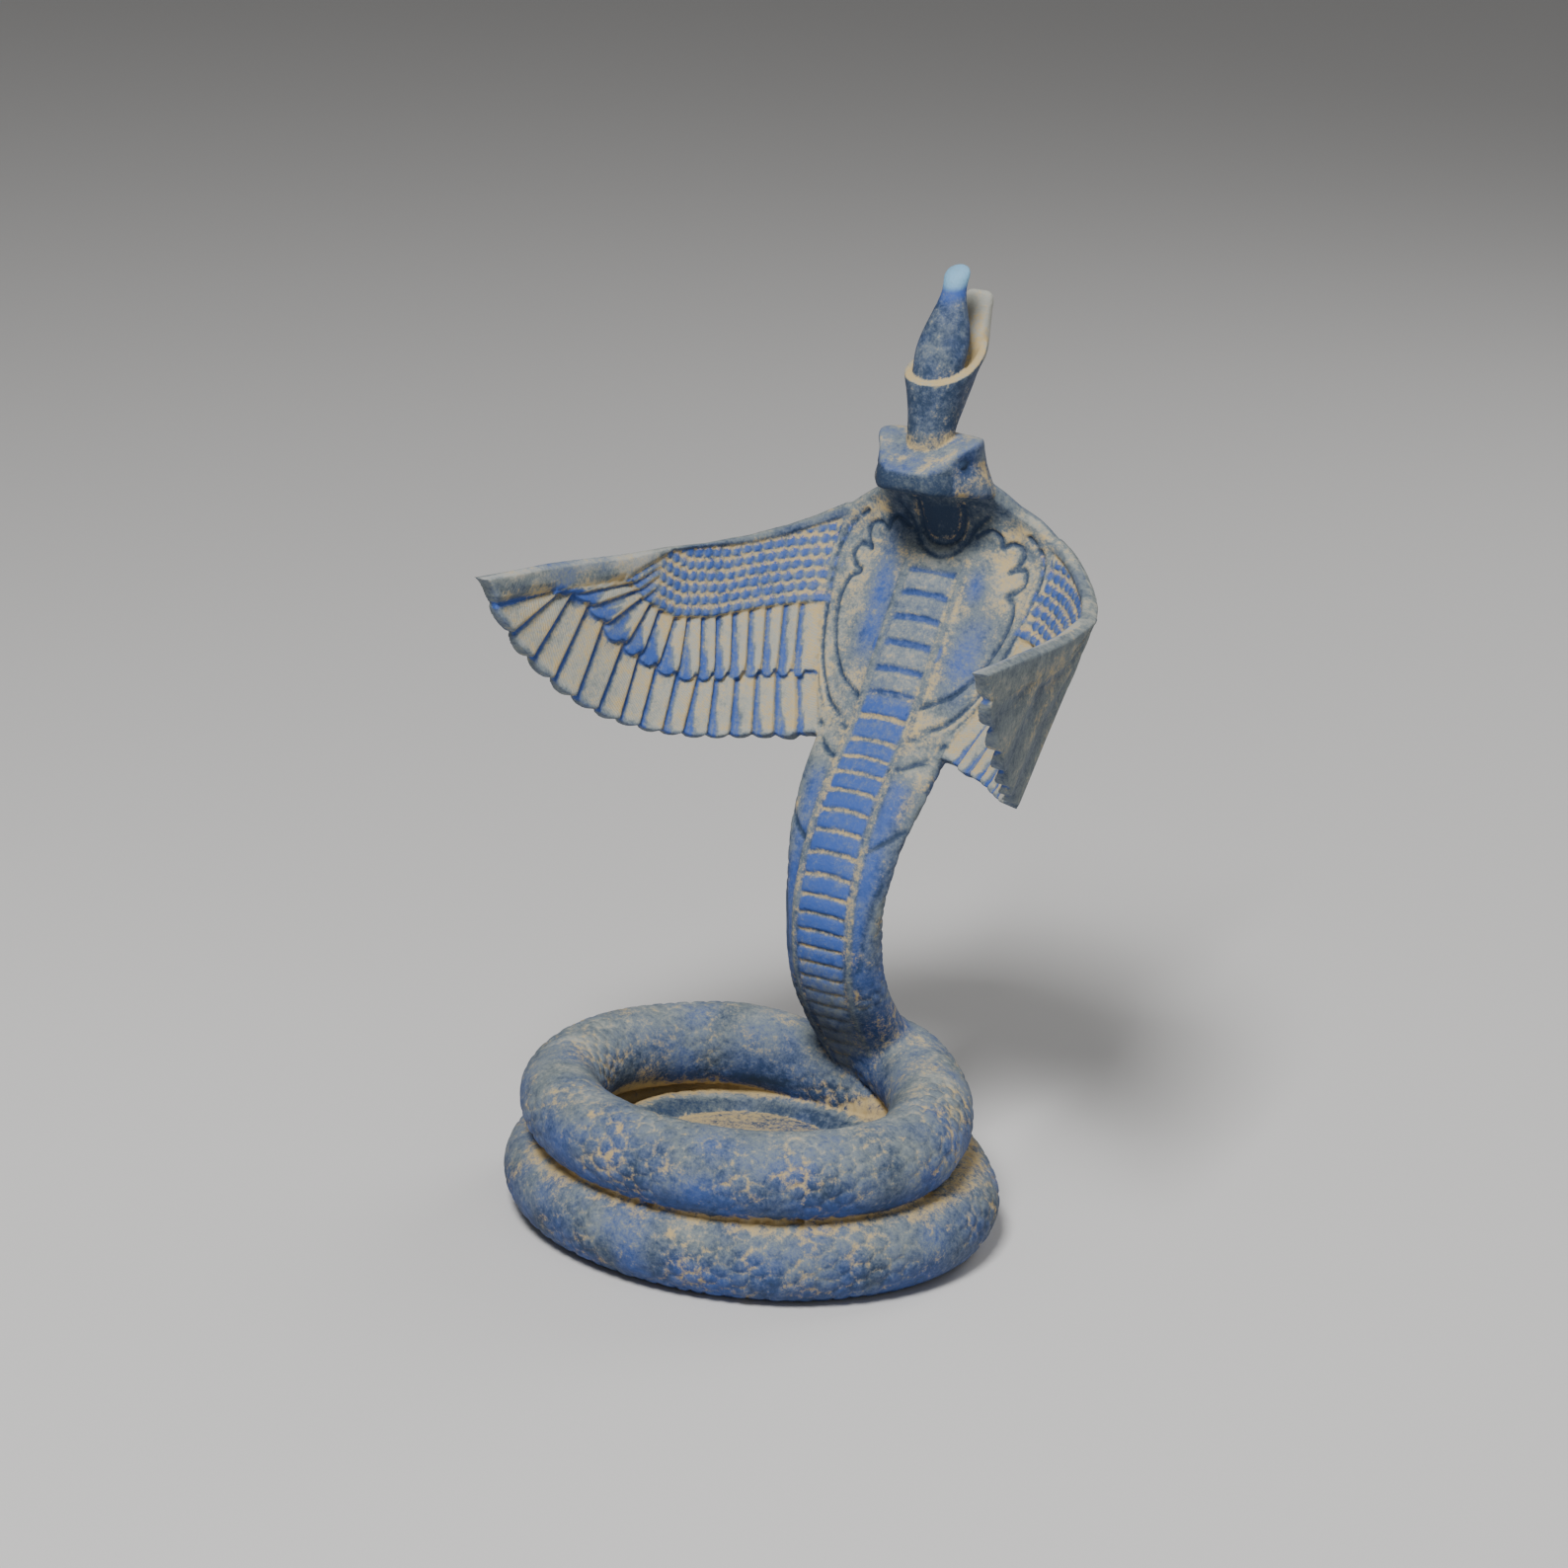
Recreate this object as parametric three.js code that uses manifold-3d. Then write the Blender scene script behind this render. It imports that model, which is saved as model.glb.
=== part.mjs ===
// Statuette of a rearing winged cobra, cast in one piece.
// The body rises at the back of a double coil, opens into a hood with two wings
// that sweep forward, and carries a tall crown on a flat head.
// Units are millimetres, +Z is up and the serpent faces -Y.
// The origin is the centre of the coil's flat underside.

import * as THREE from 'three';
import { mergeVertices } from 'three/addons/utils/BufferGeometryUtils.js';
import Module from 'manifold-3d';

const wasm = await Module();
wasm.setup();

// Driving dimensions
const midPlane = 11.5;          // the neck stands to the right of the coil's centre
const lowerRing = { a: 56.1, b: 46.3, x: 0, y: 0, tube: 10.8 };
const upperRing = { a: 49.9, b: 41.2, x: 0.5, y: -3.7, z: 31.6, tube: 11 };
const dropStart = 325;          // degrees round the coil where the upper ring goes down
const dropEnd = 425;
const tailStart = 620;          // where the tail leaves the lower ring and turns inward
const tailLaid = 735;           // it lies inside the back of the coil from here on
const tailRound = 800;          // and fully inside the lower ring from here on
const tailMeet = 960;           // here it starts to draw back under its own first turn
const tailThin = 740;           // from here the tail has fewer sides
const tailTip = 1065;
const tailTube = 10.8;
const tailInset = 13.8;
const tailTuck = 5;             // it draws in by this much more beside the lower ring
const tailTipShare = 0.94;
const upperJoin = 300;          // ends of the coil's stretches
const lowerJoin = 433;
const floorThick = 17.5;        // the coil's middle is filled up to here
const riserShare = 0.62;        // girth of the coil's end inside the neck
const floorInset = 6;           // from the ring's centre line to the floor's edge
const hoodLean = 0.69;          // backward lean of the hood, run over rise
const wingLean = [0.717, 0.66]; // the same at the wing's root and tip
const wingInward = 0.12;        // the wing's lower edge also draws in at its root
const leanHeight = 165;         // height where the plan line of the sheet is drawn
const archHeight = 163;         // the sheet bends forward to the head above this
const archRate = 0.04;
const hoodThick = 3.8;
const hoodProud = 0.6;
const wingThick = 2.4;
const featherCount = 17;
const featherRise = 0.8;
const tierRise = 0.9;
const scallop = 1.3;
const rimRise = 0.8;
const scuteCount = 29;
const scuteRise = 0.7;
const bandHalf = 7;             // half the width of the belly band on the hood
const bandHalfLow = 5;
const eyeRadius = 2;
const ringSides = 12;
const tailSides = 10;
const bodySides = 16;

// Helpers
const lerp = THREE.MathUtils.lerp;
const smooth = THREE.MathUtils.smoothstep;
const v3 = (x, y, z) => new THREE.Vector3(x, y, z);

// Piecewise linear table of [key, value] rows
function table(rows, key) {
  if (key <= rows[0][0]) return rows[0][1];
  for (let i = 1; i < rows.length; i++) {
    if (key <= rows[i][0]) {
      const part = (key - rows[i - 1][0]) / (rows[i][0] - rows[i - 1][0]);
      return lerp(rows[i - 1][1], rows[i][1], part);
    }
  }
  return rows[rows.length - 1][1];
}

// Closed body from a row of closed loops, each with the same even number of points.
// The end loops are closed by strips between point k and its partner across the loop.
function loft(loops) {
  const size = loops[0].length;
  const positions = loops.flat().flatMap((p) => [p.x, p.y, p.z]);
  const faces = [];
  for (let i = 0; i + 1 < loops.length; i++) {
    for (let j = 0; j < size; j++) {
      const a = i * size + j;
      const b = i * size + ((j + 1) % size);
      faces.push([a, b, b + size], [a, b + size, a + size]);
    }
  }
  const last = (loops.length - 1) * size;
  for (let j = 0; j < size / 2 - 1; j++) {
    const near = [j, j + 1, size - 2 - j, size - 1 - j];
    faces.push([near[0], near[2], near[1]], [near[0], near[3], near[2]]);
    const far = near.map((k) => k + last);
    faces.push([far[0], far[1], far[2]], [far[0], far[2], far[3]]);
  }
  const geometry = new THREE.BufferGeometry();
  geometry.setAttribute('position', new THREE.Float32BufferAttribute(positions, 3));
  geometry.setIndex(faces.flat());
  return solid(geometry);
}

function solid(geometry) {
  geometry.deleteAttribute('normal');
  geometry.deleteAttribute('uv');
  const merged = mergeVertices(geometry, 1e-4);
  const vertProperties = Float32Array.from(merged.attributes.position.array);
  const triVerts = Uint32Array.from(merged.index.array);
  let volume = 0;
  const a = new THREE.Vector3();
  const b = new THREE.Vector3();
  const c = new THREE.Vector3();
  for (let i = 0; i < triVerts.length; i += 3) {
    a.fromArray(vertProperties, triVerts[i] * 3);
    b.fromArray(vertProperties, triVerts[i + 1] * 3);
    c.fromArray(vertProperties, triVerts[i + 2] * 3);
    volume += a.dot(b.cross(c));
  }
  if (volume < 0) {
    for (let i = 0; i < triVerts.length; i += 3) {
      const keep = triVerts[i];
      triVerts[i] = triVerts[i + 1];
      triVerts[i + 1] = keep;
    }
  }
  return new wasm.Manifold(new wasm.Mesh({ numProp: 3, vertProperties, triVerts }));
}

// Rounded loop about a centre, wide along side and deep along up; power 2 is an ellipse
function ovalLoop(centre, side, up, wide, deep, count, power = 2) {
  const loop = [];
  for (let k = 0; k < count; k++) {
    const angle = ((k + 0.5) / count) * Math.PI * 2;
    const c = Math.cos(angle);
    const s = Math.sin(angle);
    const x = Math.sign(c) * Math.abs(c) ** (2 / power) * wide;
    const y = Math.sign(s) * Math.abs(s) ** (2 / power) * deep;
    loop.push(centre.clone().addScaledVector(side, x).addScaledVector(up, y));
  }
  return loop;
}

// Round tube through stations of centre, direction and radius, with level sections
function tube(stations, sides) {
  const up = v3(0, 0, 1);
  return loft(stations.map(({ centre, along, radius }) => {
    const side = along.clone().cross(up).normalize();
    const loop = ovalLoop(centre, side, side.clone().cross(along), radius, radius, sides);
    loop.forEach((p) => p.setZ(Math.max(p.z, 0)));
    return loop;
  }));
}

// Coil: turn is measured in degrees from the back, clockwise seen from above
// The lowest facet of a tube lies flat on the ground, so its centre is a little under one radius
const flatShare = (turn) => Math.cos(Math.PI / (turn > tailThin ? tailSides : ringSides));

function coilRadius(turn) {
  const drop = smooth(turn, dropStart, dropEnd);
  const body = lerp(upperRing.tube, lowerRing.tube, drop);
  const tail = lerp(body, tailTube, smooth(turn, tailStart, tailLaid));
  const past = Math.max((turn - tailLaid) / (tailTip - tailLaid), 0);
  return tail * lerp(1, tailTipShare, past ** 1.4);
}

function coilCentre(turn) {
  const drop = smooth(turn, dropStart, dropEnd);
  const inset = tailInset * smooth(turn, tailStart, tailLaid)
    + tailTuck * (smooth(turn, tailLaid, tailRound) - smooth(turn, tailMeet, tailTip));
  const a = lerp(upperRing.a, lowerRing.a, drop) - inset * 1.15;
  const b = lerp(upperRing.b, lowerRing.b, drop) - inset;
  const z = lerp(upperRing.z, coilRadius(turn) * flatShare(turn), drop);
  const angle = THREE.MathUtils.degToRad(turn);
  return v3(
    lerp(upperRing.x, lowerRing.x, drop) + a * Math.sin(angle),
    lerp(upperRing.y, lowerRing.y, drop) + b * Math.cos(angle),
    z,
  );
}

function coilStation(turn, shrink = 1) {
  const along = coilCentre(turn + 0.5).sub(coilCentre(turn - 0.5)).normalize();
  return { centre: coilCentre(turn), along, radius: coilRadius(turn) * shrink };
}

// Stations from one turn to another, with a smaller last one that sits inside the next stretch
function coilStations(from, to, step, tuck = 5) {
  const count = Math.round((to - from) / step);
  const list = Array.from({ length: count + 1 }, (_, i) => (
    coilStation(lerp(from, to, i / count))));
  if (tuck) list.push(coilStation(to + tuck, 0.8));
  return list;
}

// The body comes down at the back and turns right into the upper ring
function riserStations() {
  const path = new THREE.CatmullRomCurve3([
    v3(midPlane + 0.5, 26, 60),
    v3(midPlane + 2, 32.5, 47),
    v3(17, 37.5, 38.5),
    v3(26, 37, 33.8),
    v3(37, 27, 32.3),
    v3(46, 12, 31.8),
    coilCentre(90),
  ]);
  const radius = (share) => upperRing.tube * lerp(riserShare, 1, smooth(share, 0, 0.5));
  return Array.from({ length: 9 }, (_, i) => (
    { centre: path.getPoint(i / 9), along: path.getTangent(i / 9), radius: radius(i / 9) }));
}

// Body, hood and head are placed by belly line rows:
// forward surface y, height z, half width, half depth, fullness of the section, side shift
const bellyRows = [
  [35, 24, 12, 8.6, 2, 4],
  [32.1, 31.4, 13.4, 9.6, 2, 0.6],
  [24.7, 42.6, 13.9, 8.4, 2, 0],
  [17.6, 53.7, 13.5, 7.9, 2.1, 0],
  [13.2, 64.7, 13.1, 8.2, 2.2, 0],
  [12.2, 76, 13.4, 7.8, 2.2, 0],
  [14.2, 88, 14.3, 6.2, 2.2, 0],
  [20.4, 101.5, 16.3, 4.6, 2.2, 0],
  [28.7, 112.9, 18.2, 4.5, 2.2, 0],
  [36.3, 122.3, 19, 5, 2.2, 0],
  [48.5, 135.7, 17, 5.6, 2, 0],
  [58.6, 151, 15, 5.9, 2, 0],
  [67.2, 164.4, 13.8, 5.8, 2, 0],
  [68.4, 172.5, 13, 5.4, 2, 0],
  [67, 179, 12.6, 5.2, 2, 0],
  [64, 185.5, 12.2, 5.4, 2, 0],
  [61.5, 190.5, 10, 5, 2, 0],
];
const bellyPath = new THREE.CatmullRomCurve3(bellyRows.map((r) => v3(0, r[0], r[1])));

function bellyFrame(t) {
  const point = bellyPath.getPoint(t);
  const along = bellyPath.getTangent(t);
  const forward = v3(0, -along.z, along.y);
  const row = t * (bellyRows.length - 1);
  const low = Math.min(Math.floor(row), bellyRows.length - 2);
  const size = (k) => lerp(bellyRows[low][k], bellyRows[low + 1][k], row - low);
  return {
    point, forward, wide: size(2), deep: size(3), power: size(4), middle: midPlane + size(5),
  };
}

function body() {
  const loops = [];
  const count = 27;
  for (let i = 0; i <= count; i++) {
    const frame = bellyFrame(i / count);
    const centre = frame.point.clone().addScaledVector(frame.forward, -frame.deep);
    centre.x = frame.middle;
    loops.push(ovalLoop(centre, v3(1, 0, 0), frame.forward, frame.wide, frame.deep,
      bodySides, frame.power));
  }
  return loft(loops);
}

// Parameter of the belly line at a height
function bellyAt(height) {
  let low = 0;
  let high = 1;
  for (let i = 0; i < 40; i++) {
    const mid = (low + high) / 2;
    if (bellyPath.getPoint(mid).z < height) low = mid;
    else high = mid;
  }
  return low;
}

// Scutes: plates laid across the belly band, thickest at the lower edge
const bandBottom = 27;
const bandTop = 161;

function scutes() {
  const start = bellyAt(bandBottom);
  const end = bellyAt(bandTop);
  const plates = [];
  for (let i = 0; i < scuteCount; i++) {
    const centreShare = (i + 0.5) / scuteCount;
    const half = lerp(bandHalfLow, bandHalf, smooth(centreShare, 0, 0.45));
    const loops = [[0.06, scuteRise * 1.1], [0.9, scuteRise * 0.55]].map(([share, rise]) => {
      const frame = bellyFrame(lerp(start, end, (i + share) / scuteCount));
      const sink = 1.4 + half * half / frame.wide / 3;
      return [[-1, -sink], [-0.92, rise], [0.92, rise], [1, -sink]].map(([x, y]) => {
        const p = frame.point.clone().addScaledVector(frame.forward, y);
        p.x = frame.middle + x * half;
        return p;
      });
    });
    plates.push(loft(loops));
  }
  return plates;
}

// Sheet of hood and wings: s runs outward along its plan line, z is the height
const sheetPlan = new THREE.CatmullRomCurve3([
  v3(0, 68, 0), v3(12, 69.6, 0), v3(24, 71.7, 0), v3(33, 70.3, 0), v3(41, 65.2, 0),
  v3(48.4, 57, 0), v3(54.5, 46.5, 0), v3(59.3, 34.5, 0), v3(63, 13, 0), v3(66.2, -10, 0),
  v3(69.3, -44, 0),
]);
const planLength = sheetPlan.getLength();

function sheetPoint(s, z, offset = 0) {
  const out = Math.abs(s);
  const share = THREE.MathUtils.clamp(out / planLength, 0, 1);
  const plan = sheetPlan.getPointAt(share);
  const along = sheetPlan.getTangentAt(share);
  const over = Math.max(z - archHeight, 0);
  const root = smooth(out, 15, 35);
  const reach = smooth(out, 35, planLength);
  const lean = lerp(lerp(hoodLean, wingLean[0], root), wingLean[1], reach);
  const inward = wingInward * root * (1 - reach);
  const x = plan.x - inward * (leanHeight - z);
  const y = plan.y + lean * (z - leanHeight) - archRate * over * over;
  const slope = lean - 2 * archRate * over;
  const normal = v3(along.y, -along.x, slope * along.x - inward * along.y).normalize();
  const p = v3(x, y, z).addScaledVector(normal, offset);
  if (s < 0) p.x = -p.x;
  p.x += midPlane;
  return p;
}

const topEdge = [[13, 187], [16.6, 183.6], [22, 177.9], [27, 174.6], [32.5, 172], [38.5, 169.4],
  [45.5, 167.2], [56, 165.2], [69, 164.4], [92, 165.2], [112, 167.2], [132.4, 169.2],
  [150, 170.6], [157, 170.2]];
const hoodEdge = [[104, 15.4], [109, 17.2], [115, 18.6], [121, 20.4], [129, 26], [137.5, 29.2],
  [149, 32.2], [160, 34], [167, 34.2], [171.5, 31.5], [175, 26.5], [178, 21.8], [183, 17],
  [187, 13]];

function hood() {
  const heights = [104, 109, 115, 121, 128, 136, 144, 152, 160, 167, 171.5, 175, 178.5, 182.5,
    186.5];
  const shares = [-1, -0.86, -0.62, -0.38, 0, 0.38, 0.62, 0.86, 1];
  return loft(heights.map((z) => {
    const half = table(hoodEdge, z);
    const front = shares.map((share) => sheetPoint(share * half, z,
      hoodProud * (Math.abs(share) === 1 ? -1 : 1)));
    const back = shares.map((share) => sheetPoint(share * half, z,
      Math.abs(share) === 1 ? -hoodThick + 1.4 : -hoodThick));
    return [...front, ...back.reverse()];
  }));
}

// Wing grid: feather number g runs from the root 0 to the tip, where the last line is the
// leading edge itself; the four lines cross the feathers from leading to trailing edge
const tierLines = {
  lead: [[0, 30], [6, 42], [12, 60], [17, 80]],
  covert: [[0, 32], [4, 45], [8, 60], [12, 74], [15, 87], [17, 98]],
  middle: [[0, 30.5], [4, 47], [8, 63.5], [12, 86], [15, 105], [17, 123]],
  outer: [[0, 23], [2, 33.5], [4, 43.5], [6, 54.2], [8, 66.5], [10, 81.5], [12, 101],
    [14, 123.5], [16, 146], [17, 157]],
};
const tierHeights = {
  covert: [[33, 149], [61, 146.4], [73, 147.6], [79, 150.3], [85.8, 153.6], [93, 159]],
  middle: [[30, 132.6], [54, 132.2], [61, 132.4], [67.4, 133.6], [75.3, 136.8], [84, 141.2],
    [94.3, 146.4], [102, 152.2], [111.7, 158.2], [119, 161]],
};

function trailingEdge(s) {
  const rise = 51 * Math.max((s - 48) / 108, 0) ** 1.72;
  return 118 + rise + Math.max(30 - s, 0) * 0.25;
}

function wingNode(line, g) {
  const s = table(tierLines[line], g);
  const edge = table(topEdge, s);
  if (line === 'lead') return [s, edge];
  const height = line === 'outer' ? trailingEdge(s) : table(tierHeights[line], s);
  return [s, lerp(height, edge, Math.max(g - featherCount + 1, 0))];
}

// Rows down the wing: between two lines, share of the way, front relief, back relief
const wingRows = [
  ['lead', 'covert', 0, -1, -1],
  ['lead', 'covert', 0.06, rimRise, rimRise],
  ['lead', 'covert', 0.16, rimRise, rimRise],
  ['lead', 'covert', 0.22, -0.5, 0],
  ['lead', 'covert', 0.97, 0.3, 0.5],
  ['lead', 'covert', 1, -tierRise, 0.2],
  ['covert', 'middle', 0.97, 0.3, tierRise],
  ['covert', 'middle', 1, -tierRise, 0],
  ['middle', 'outer', 1, -0.1, 0.1],
];

// Columns of one wing: feather position, share of the feather relief, share of the rim
const ridgeShare = 0.22;
const wingColumns = [
  [-0.6, 0, 0],
  ...Array.from({ length: featherCount }, (_, k) => [[k, 0, 0], [k + ridgeShare, 1, 0]]).flat(),
  [featherCount - 0.42, 0.8, 1],
  [featherCount - 0.14, 0.8, 1],
  [featherCount, 0, -1],
];

function wing(sign) {
  return loft(wingColumns.map(([g, lift, edge]) => {
    const front = [];
    const back = [];
    const feather = Math.max(g, 0);
    const tuck = g < 0 ? 3.5 : 0;
    const notch = Number.isInteger(g) && g > 0 && edge === 0 ? scallop / 22 : 0;
    for (const [from, to, share, frontRise, backRise] of wingRows) {
      const a = wingNode(from, feather);
      const b = wingNode(to, feather);
      const feathered = from === 'lead' && share < 1 ? 0 : 1;
      const cut = share === 1 && to === 'outer' ? notch : 0;
      const s = lerp(a[0], b[0], share - cut) - tuck;
      const z = lerp(a[1], b[1], share - cut);
      const relief = (lift - 0.5) * featherRise * feathered;
      const f = edge ? edge * rimRise : frontRise + relief;
      const r = edge ? edge * rimRise : backRise + relief * 0.7;
      front.push(sheetPoint(sign * s, z, f));
      back.push(sheetPoint(sign * s, z, -wingThick - r));
    }
    return [...front, ...back.reverse()];
  }));
}

// Raised outline drawn on the sheet through rows of (s, z)
function outline(rows, sign, proud, size) {
  const path = new THREE.CatmullRomCurve3(rows.map(([s, z]) => v3(s, z, 0)));
  const points = path.getPoints(rows.length * 2);
  return loft(points.map((p, i) => {
    const next = points[Math.min(i + 1, points.length - 1)];
    const prev = points[Math.max(i - 1, 0)];
    const dir = next.clone().sub(prev).normalize();
    const at = (side, rise) => sheetPoint(sign * (p.x - dir.y * side), p.y + dir.x * side, rise);
    return [at(size, -1), at(size * 0.4, proud), at(-size * 0.4, proud), at(-size, -1)];
  }));
}

const shieldLine = [[9, 123.6], [16.7, 126.6], [21, 129.6], [24.6, 133.4], [27.6, 138.5],
  [29.4, 145], [30.6, 153], [30.8, 161], [27.5, 168.5]];

// Head: rows along its length of y, underside z, top z, half width, fullness
const headRows = [
  [47.8, 187, 190.2, 4.6, 2.8],
  [48.6, 185.9, 191.3, 6.7, 3.2],
  [51.4, 185.3, 193, 9, 3.6],
  [55.2, 184.9, 195.1, 11.6, 4],
  [59.8, 184.6, 197.5, 14, 4.2],
  [63.4, 184.2, 198.4, 13.7, 3.8],
  [67, 183.8, 198.4, 12.6, 3.2],
  [70.5, 184, 197, 10.8, 2.6],
  [73.4, 185, 194.6, 7.8, 2.2],
  [74.8, 187, 192.4, 4, 2],
];

function head() {
  const side = v3(1, 0, 0);
  const up = v3(0, 0, 1);
  return loft(headRows.map(([y, low, high, half, power]) => (
    ovalLoop(v3(midPlane, y, (low + high) / 2), side, up, half, (high - low) / 2, 20, power))));
}

function eye(sign) {
  const ball = new THREE.SphereGeometry(eyeRadius, 10, 6);
  ball.scale(0.7, 1, 0.85);
  ball.translate(midPlane + sign * 12.7, 58.2, 192.4);
  return solid(ball);
}

// Crown: flared cup open at the top, pole up its back, and a bulb standing in the cup
const rimSlope = 0.33;
const crownSides = 18;

function cupLoop(front, back, half, height, slope = rimSlope) {
  const middle = front + half;
  const loop = [];
  for (let k = 0; k < crownSides; k++) {
    const angle = ((k + 0.5) / crownSides) * Math.PI * 2;
    const c = Math.cos(angle);
    const s = Math.sin(angle);
    const reach = s > 0 ? back - middle : half;
    const taper = s > 0 ? 1 - 0.12 * s * s : 1;
    const y = middle + reach * s;
    loop.push(v3(midPlane + half * c * taper, y, height + slope * (y - 57)));
  }
  return loop;
}

function cup() {
  return loft([
    cupLoop(55.4, 67.8, 6.2, 194.5, 0),
    cupLoop(55.4, 68.4, 6.2, 199, 0),
    cupLoop(55.9, 75, 6.8, 203.6, 0.15),
    cupLoop(56, 80.6, 8, 208.4, 0.27),
    cupLoop(56, 84, 9.1, 211.6),
    cupLoop(56.6, 84, 8.9, 212.2),
    cupLoop(58.2, 81.5, 7.3, 212),
    cupLoop(58.8, 80.5, 6.9, 210.4),
  ]);
}

function pole() {
  const rows = [
    [76, 4.2, 208, 2.4], [81, 3.8, 214, 2.2], [83.4, 3.3, 219, 1.7], [84.2, 3.2, 224, 1.5],
    [84.5, 3.4, 229, 1.4], [84.6, 2.9, 231, 1.1], [84.6, 1.8, 231.8, 0.7],
  ];
  return loft(rows.map(([y, half, z, deep]) => (
    ovalLoop(v3(midPlane, y, z), v3(1, 0, 0), v3(0, 1, 0), half, deep, 12, 3))));
}

function bulb() {
  const rows = [
    [208, 5], [213, 6.2], [216.5, 6.8], [220, 6.9], [223.5, 6.4], [227, 5.3], [230.5, 4.1],
    [233.2, 3.4], [235.5, 3.25], [237.6, 3.3], [239, 2.6], [239.7, 1.2],
  ];
  const lean = v3(0, -0.3, 1).normalize();
  return loft(rows.map(([z, radius]) => {
    const centre = v3(midPlane, 72 + (z - 237) * 0.36, z);
    const up = v3(1, 0, 0).cross(lean);
    return ovalLoop(centre, v3(1, 0, 0), up.negate(), radius, radius, 14);
  }));
}

// Floor that closes the ring, flat below
function floor() {
  const shape = new THREE.Shape();
  shape.absellipse(0, 0, lowerRing.a - floorInset, lowerRing.b - floorInset, 0, Math.PI * 2);
  const plate = new THREE.ExtrudeGeometry(shape, {
    depth: floorThick, bevelEnabled: false, curveSegments: 10,
  });
  return solid(plate);
}

const pieces = [
  tube([...riserStations(), ...coilStations(90, upperJoin, 11)], ringSides),
  tube(coilStations(upperJoin, lowerJoin, 11), ringSides),
  tube(coilStations(lowerJoin, tailThin, 11), ringSides),
  tube(coilStations(tailThin, tailTip, 22, 0), tailSides),
  body(),
  hood(),
  head(),
  eye(1),
  eye(-1),
  cup(),
  pole(),
  bulb(),
  floor(),
  ...scutes(),
  ...[1, -1].flatMap((sign) => [wing(sign), outline(shieldLine, sign, 1.5, 1.1)]),
];

const whole = pieces.reduce((sum, piece) => sum.add(piece));
const mesh = whole.getMesh();
const geometry = new THREE.BufferGeometry();
geometry.setAttribute('position', new THREE.BufferAttribute(mesh.vertProperties, 3));
geometry.setIndex(new THREE.BufferAttribute(mesh.triVerts, 1));

const lapis = new THREE.MeshStandardMaterial({
  color: '#35538c', roughness: 0.82, metalness: 0, flatShading: true,
});
const statuette = new THREE.Mesh(geometry, lapis);
statuette.name = 'winged_cobra';

const group = new THREE.Group();
group.add(statuette);

export default group;
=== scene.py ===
import math

import bpy
import numpy as np
from mathutils import Matrix, Vector, kdtree


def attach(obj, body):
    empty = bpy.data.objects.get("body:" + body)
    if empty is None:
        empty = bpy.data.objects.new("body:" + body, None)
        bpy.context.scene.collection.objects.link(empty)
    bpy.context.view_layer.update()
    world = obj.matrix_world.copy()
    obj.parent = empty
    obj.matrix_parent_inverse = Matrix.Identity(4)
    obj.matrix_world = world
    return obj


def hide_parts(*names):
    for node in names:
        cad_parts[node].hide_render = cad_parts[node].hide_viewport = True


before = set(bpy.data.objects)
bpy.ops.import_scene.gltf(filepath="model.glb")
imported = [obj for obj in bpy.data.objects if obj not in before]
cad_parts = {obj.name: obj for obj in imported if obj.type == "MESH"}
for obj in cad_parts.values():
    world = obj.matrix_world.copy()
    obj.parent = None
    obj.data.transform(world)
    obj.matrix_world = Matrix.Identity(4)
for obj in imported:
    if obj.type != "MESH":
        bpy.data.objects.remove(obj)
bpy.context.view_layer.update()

mm = 0.001
midPlane = 11.5  # the neck stands to the right of the coil's centre


# small maths helpers, all on numpy arrays in millimetres
def mix(a, b, t):
    return a + (b - a) * t


def smooth(x, low, high):
    t = np.clip((x - low) / (high - low), 0, 1)
    return t * t * (3 - 2 * t)


def between(x, start, full, fall, end):
    # rises from start to full, and falls again from fall to end
    return smooth(x, start, full) * (1 - smooth(x, fall, end))


def arch(t):
    # half a circle over 0 to 1
    return np.sqrt(np.clip(1 - (2 * t - 1) ** 2, 0, 1))


def bump(x, centre, half):
    return np.exp(-((x - centre) / half) ** 2)


def table(rows, key):
    rows = np.array(rows, float)
    return np.interp(key, rows[:, 0], rows[:, 1])


def unit(v):
    return v / np.maximum(np.linalg.norm(v, axis=-1, keepdims=True), 1e-9)


def anglesRound(count, shift=0.0):
    # angles of the points round a closed loop
    return (np.arange(count) + shift) / count * 2 * math.pi


def squared(value, power):
    # cosine or sine of a loop, made squarer or rounder
    return np.sign(value) * np.abs(value) ** power


class Curve:
    # smooth line through points, read by share of its rows or by its length
    def __init__(self, points, fine=600):
        points = np.array(points, float)
        count = len(points) - 1
        t = np.linspace(0, count, fine)
        i = np.clip(t.astype(int), 0, count - 1)
        f = (t - i)[:, None]
        padded = np.vstack([2 * points[0] - points[1], points, 2 * points[-1] - points[-2]])
        p0, p1, p2, p3 = (padded[i + step] for step in range(4))
        self.points = 0.5 * (2 * p1 + (p2 - p0) * f + (2 * p0 - 5 * p1 + 4 * p2 - p3) * f ** 2
                             + (3 * p1 - p0 - 3 * p2 + p3) * f ** 3)
        self.rows = t / count
        step = np.linalg.norm(np.diff(self.points, axis=0), axis=1)
        self.run = np.r_[0, np.cumsum(step)]
        self.length = self.run[-1]

    def at(self, share):
        return np.stack([np.interp(share, self.rows, c) for c in self.points.T], -1)

    def atLength(self, length):
        return np.stack([np.interp(length, self.run, c) for c in self.points.T], -1)

    def along(self, share):
        return unit(self.at(np.clip(share + 0.004, 0, 1)) - self.at(np.clip(share - 0.004, 0, 1)))

    def alongLength(self, length):
        return unit(self.atLength(length + 0.4) - self.atLength(length - 0.4))


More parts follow.
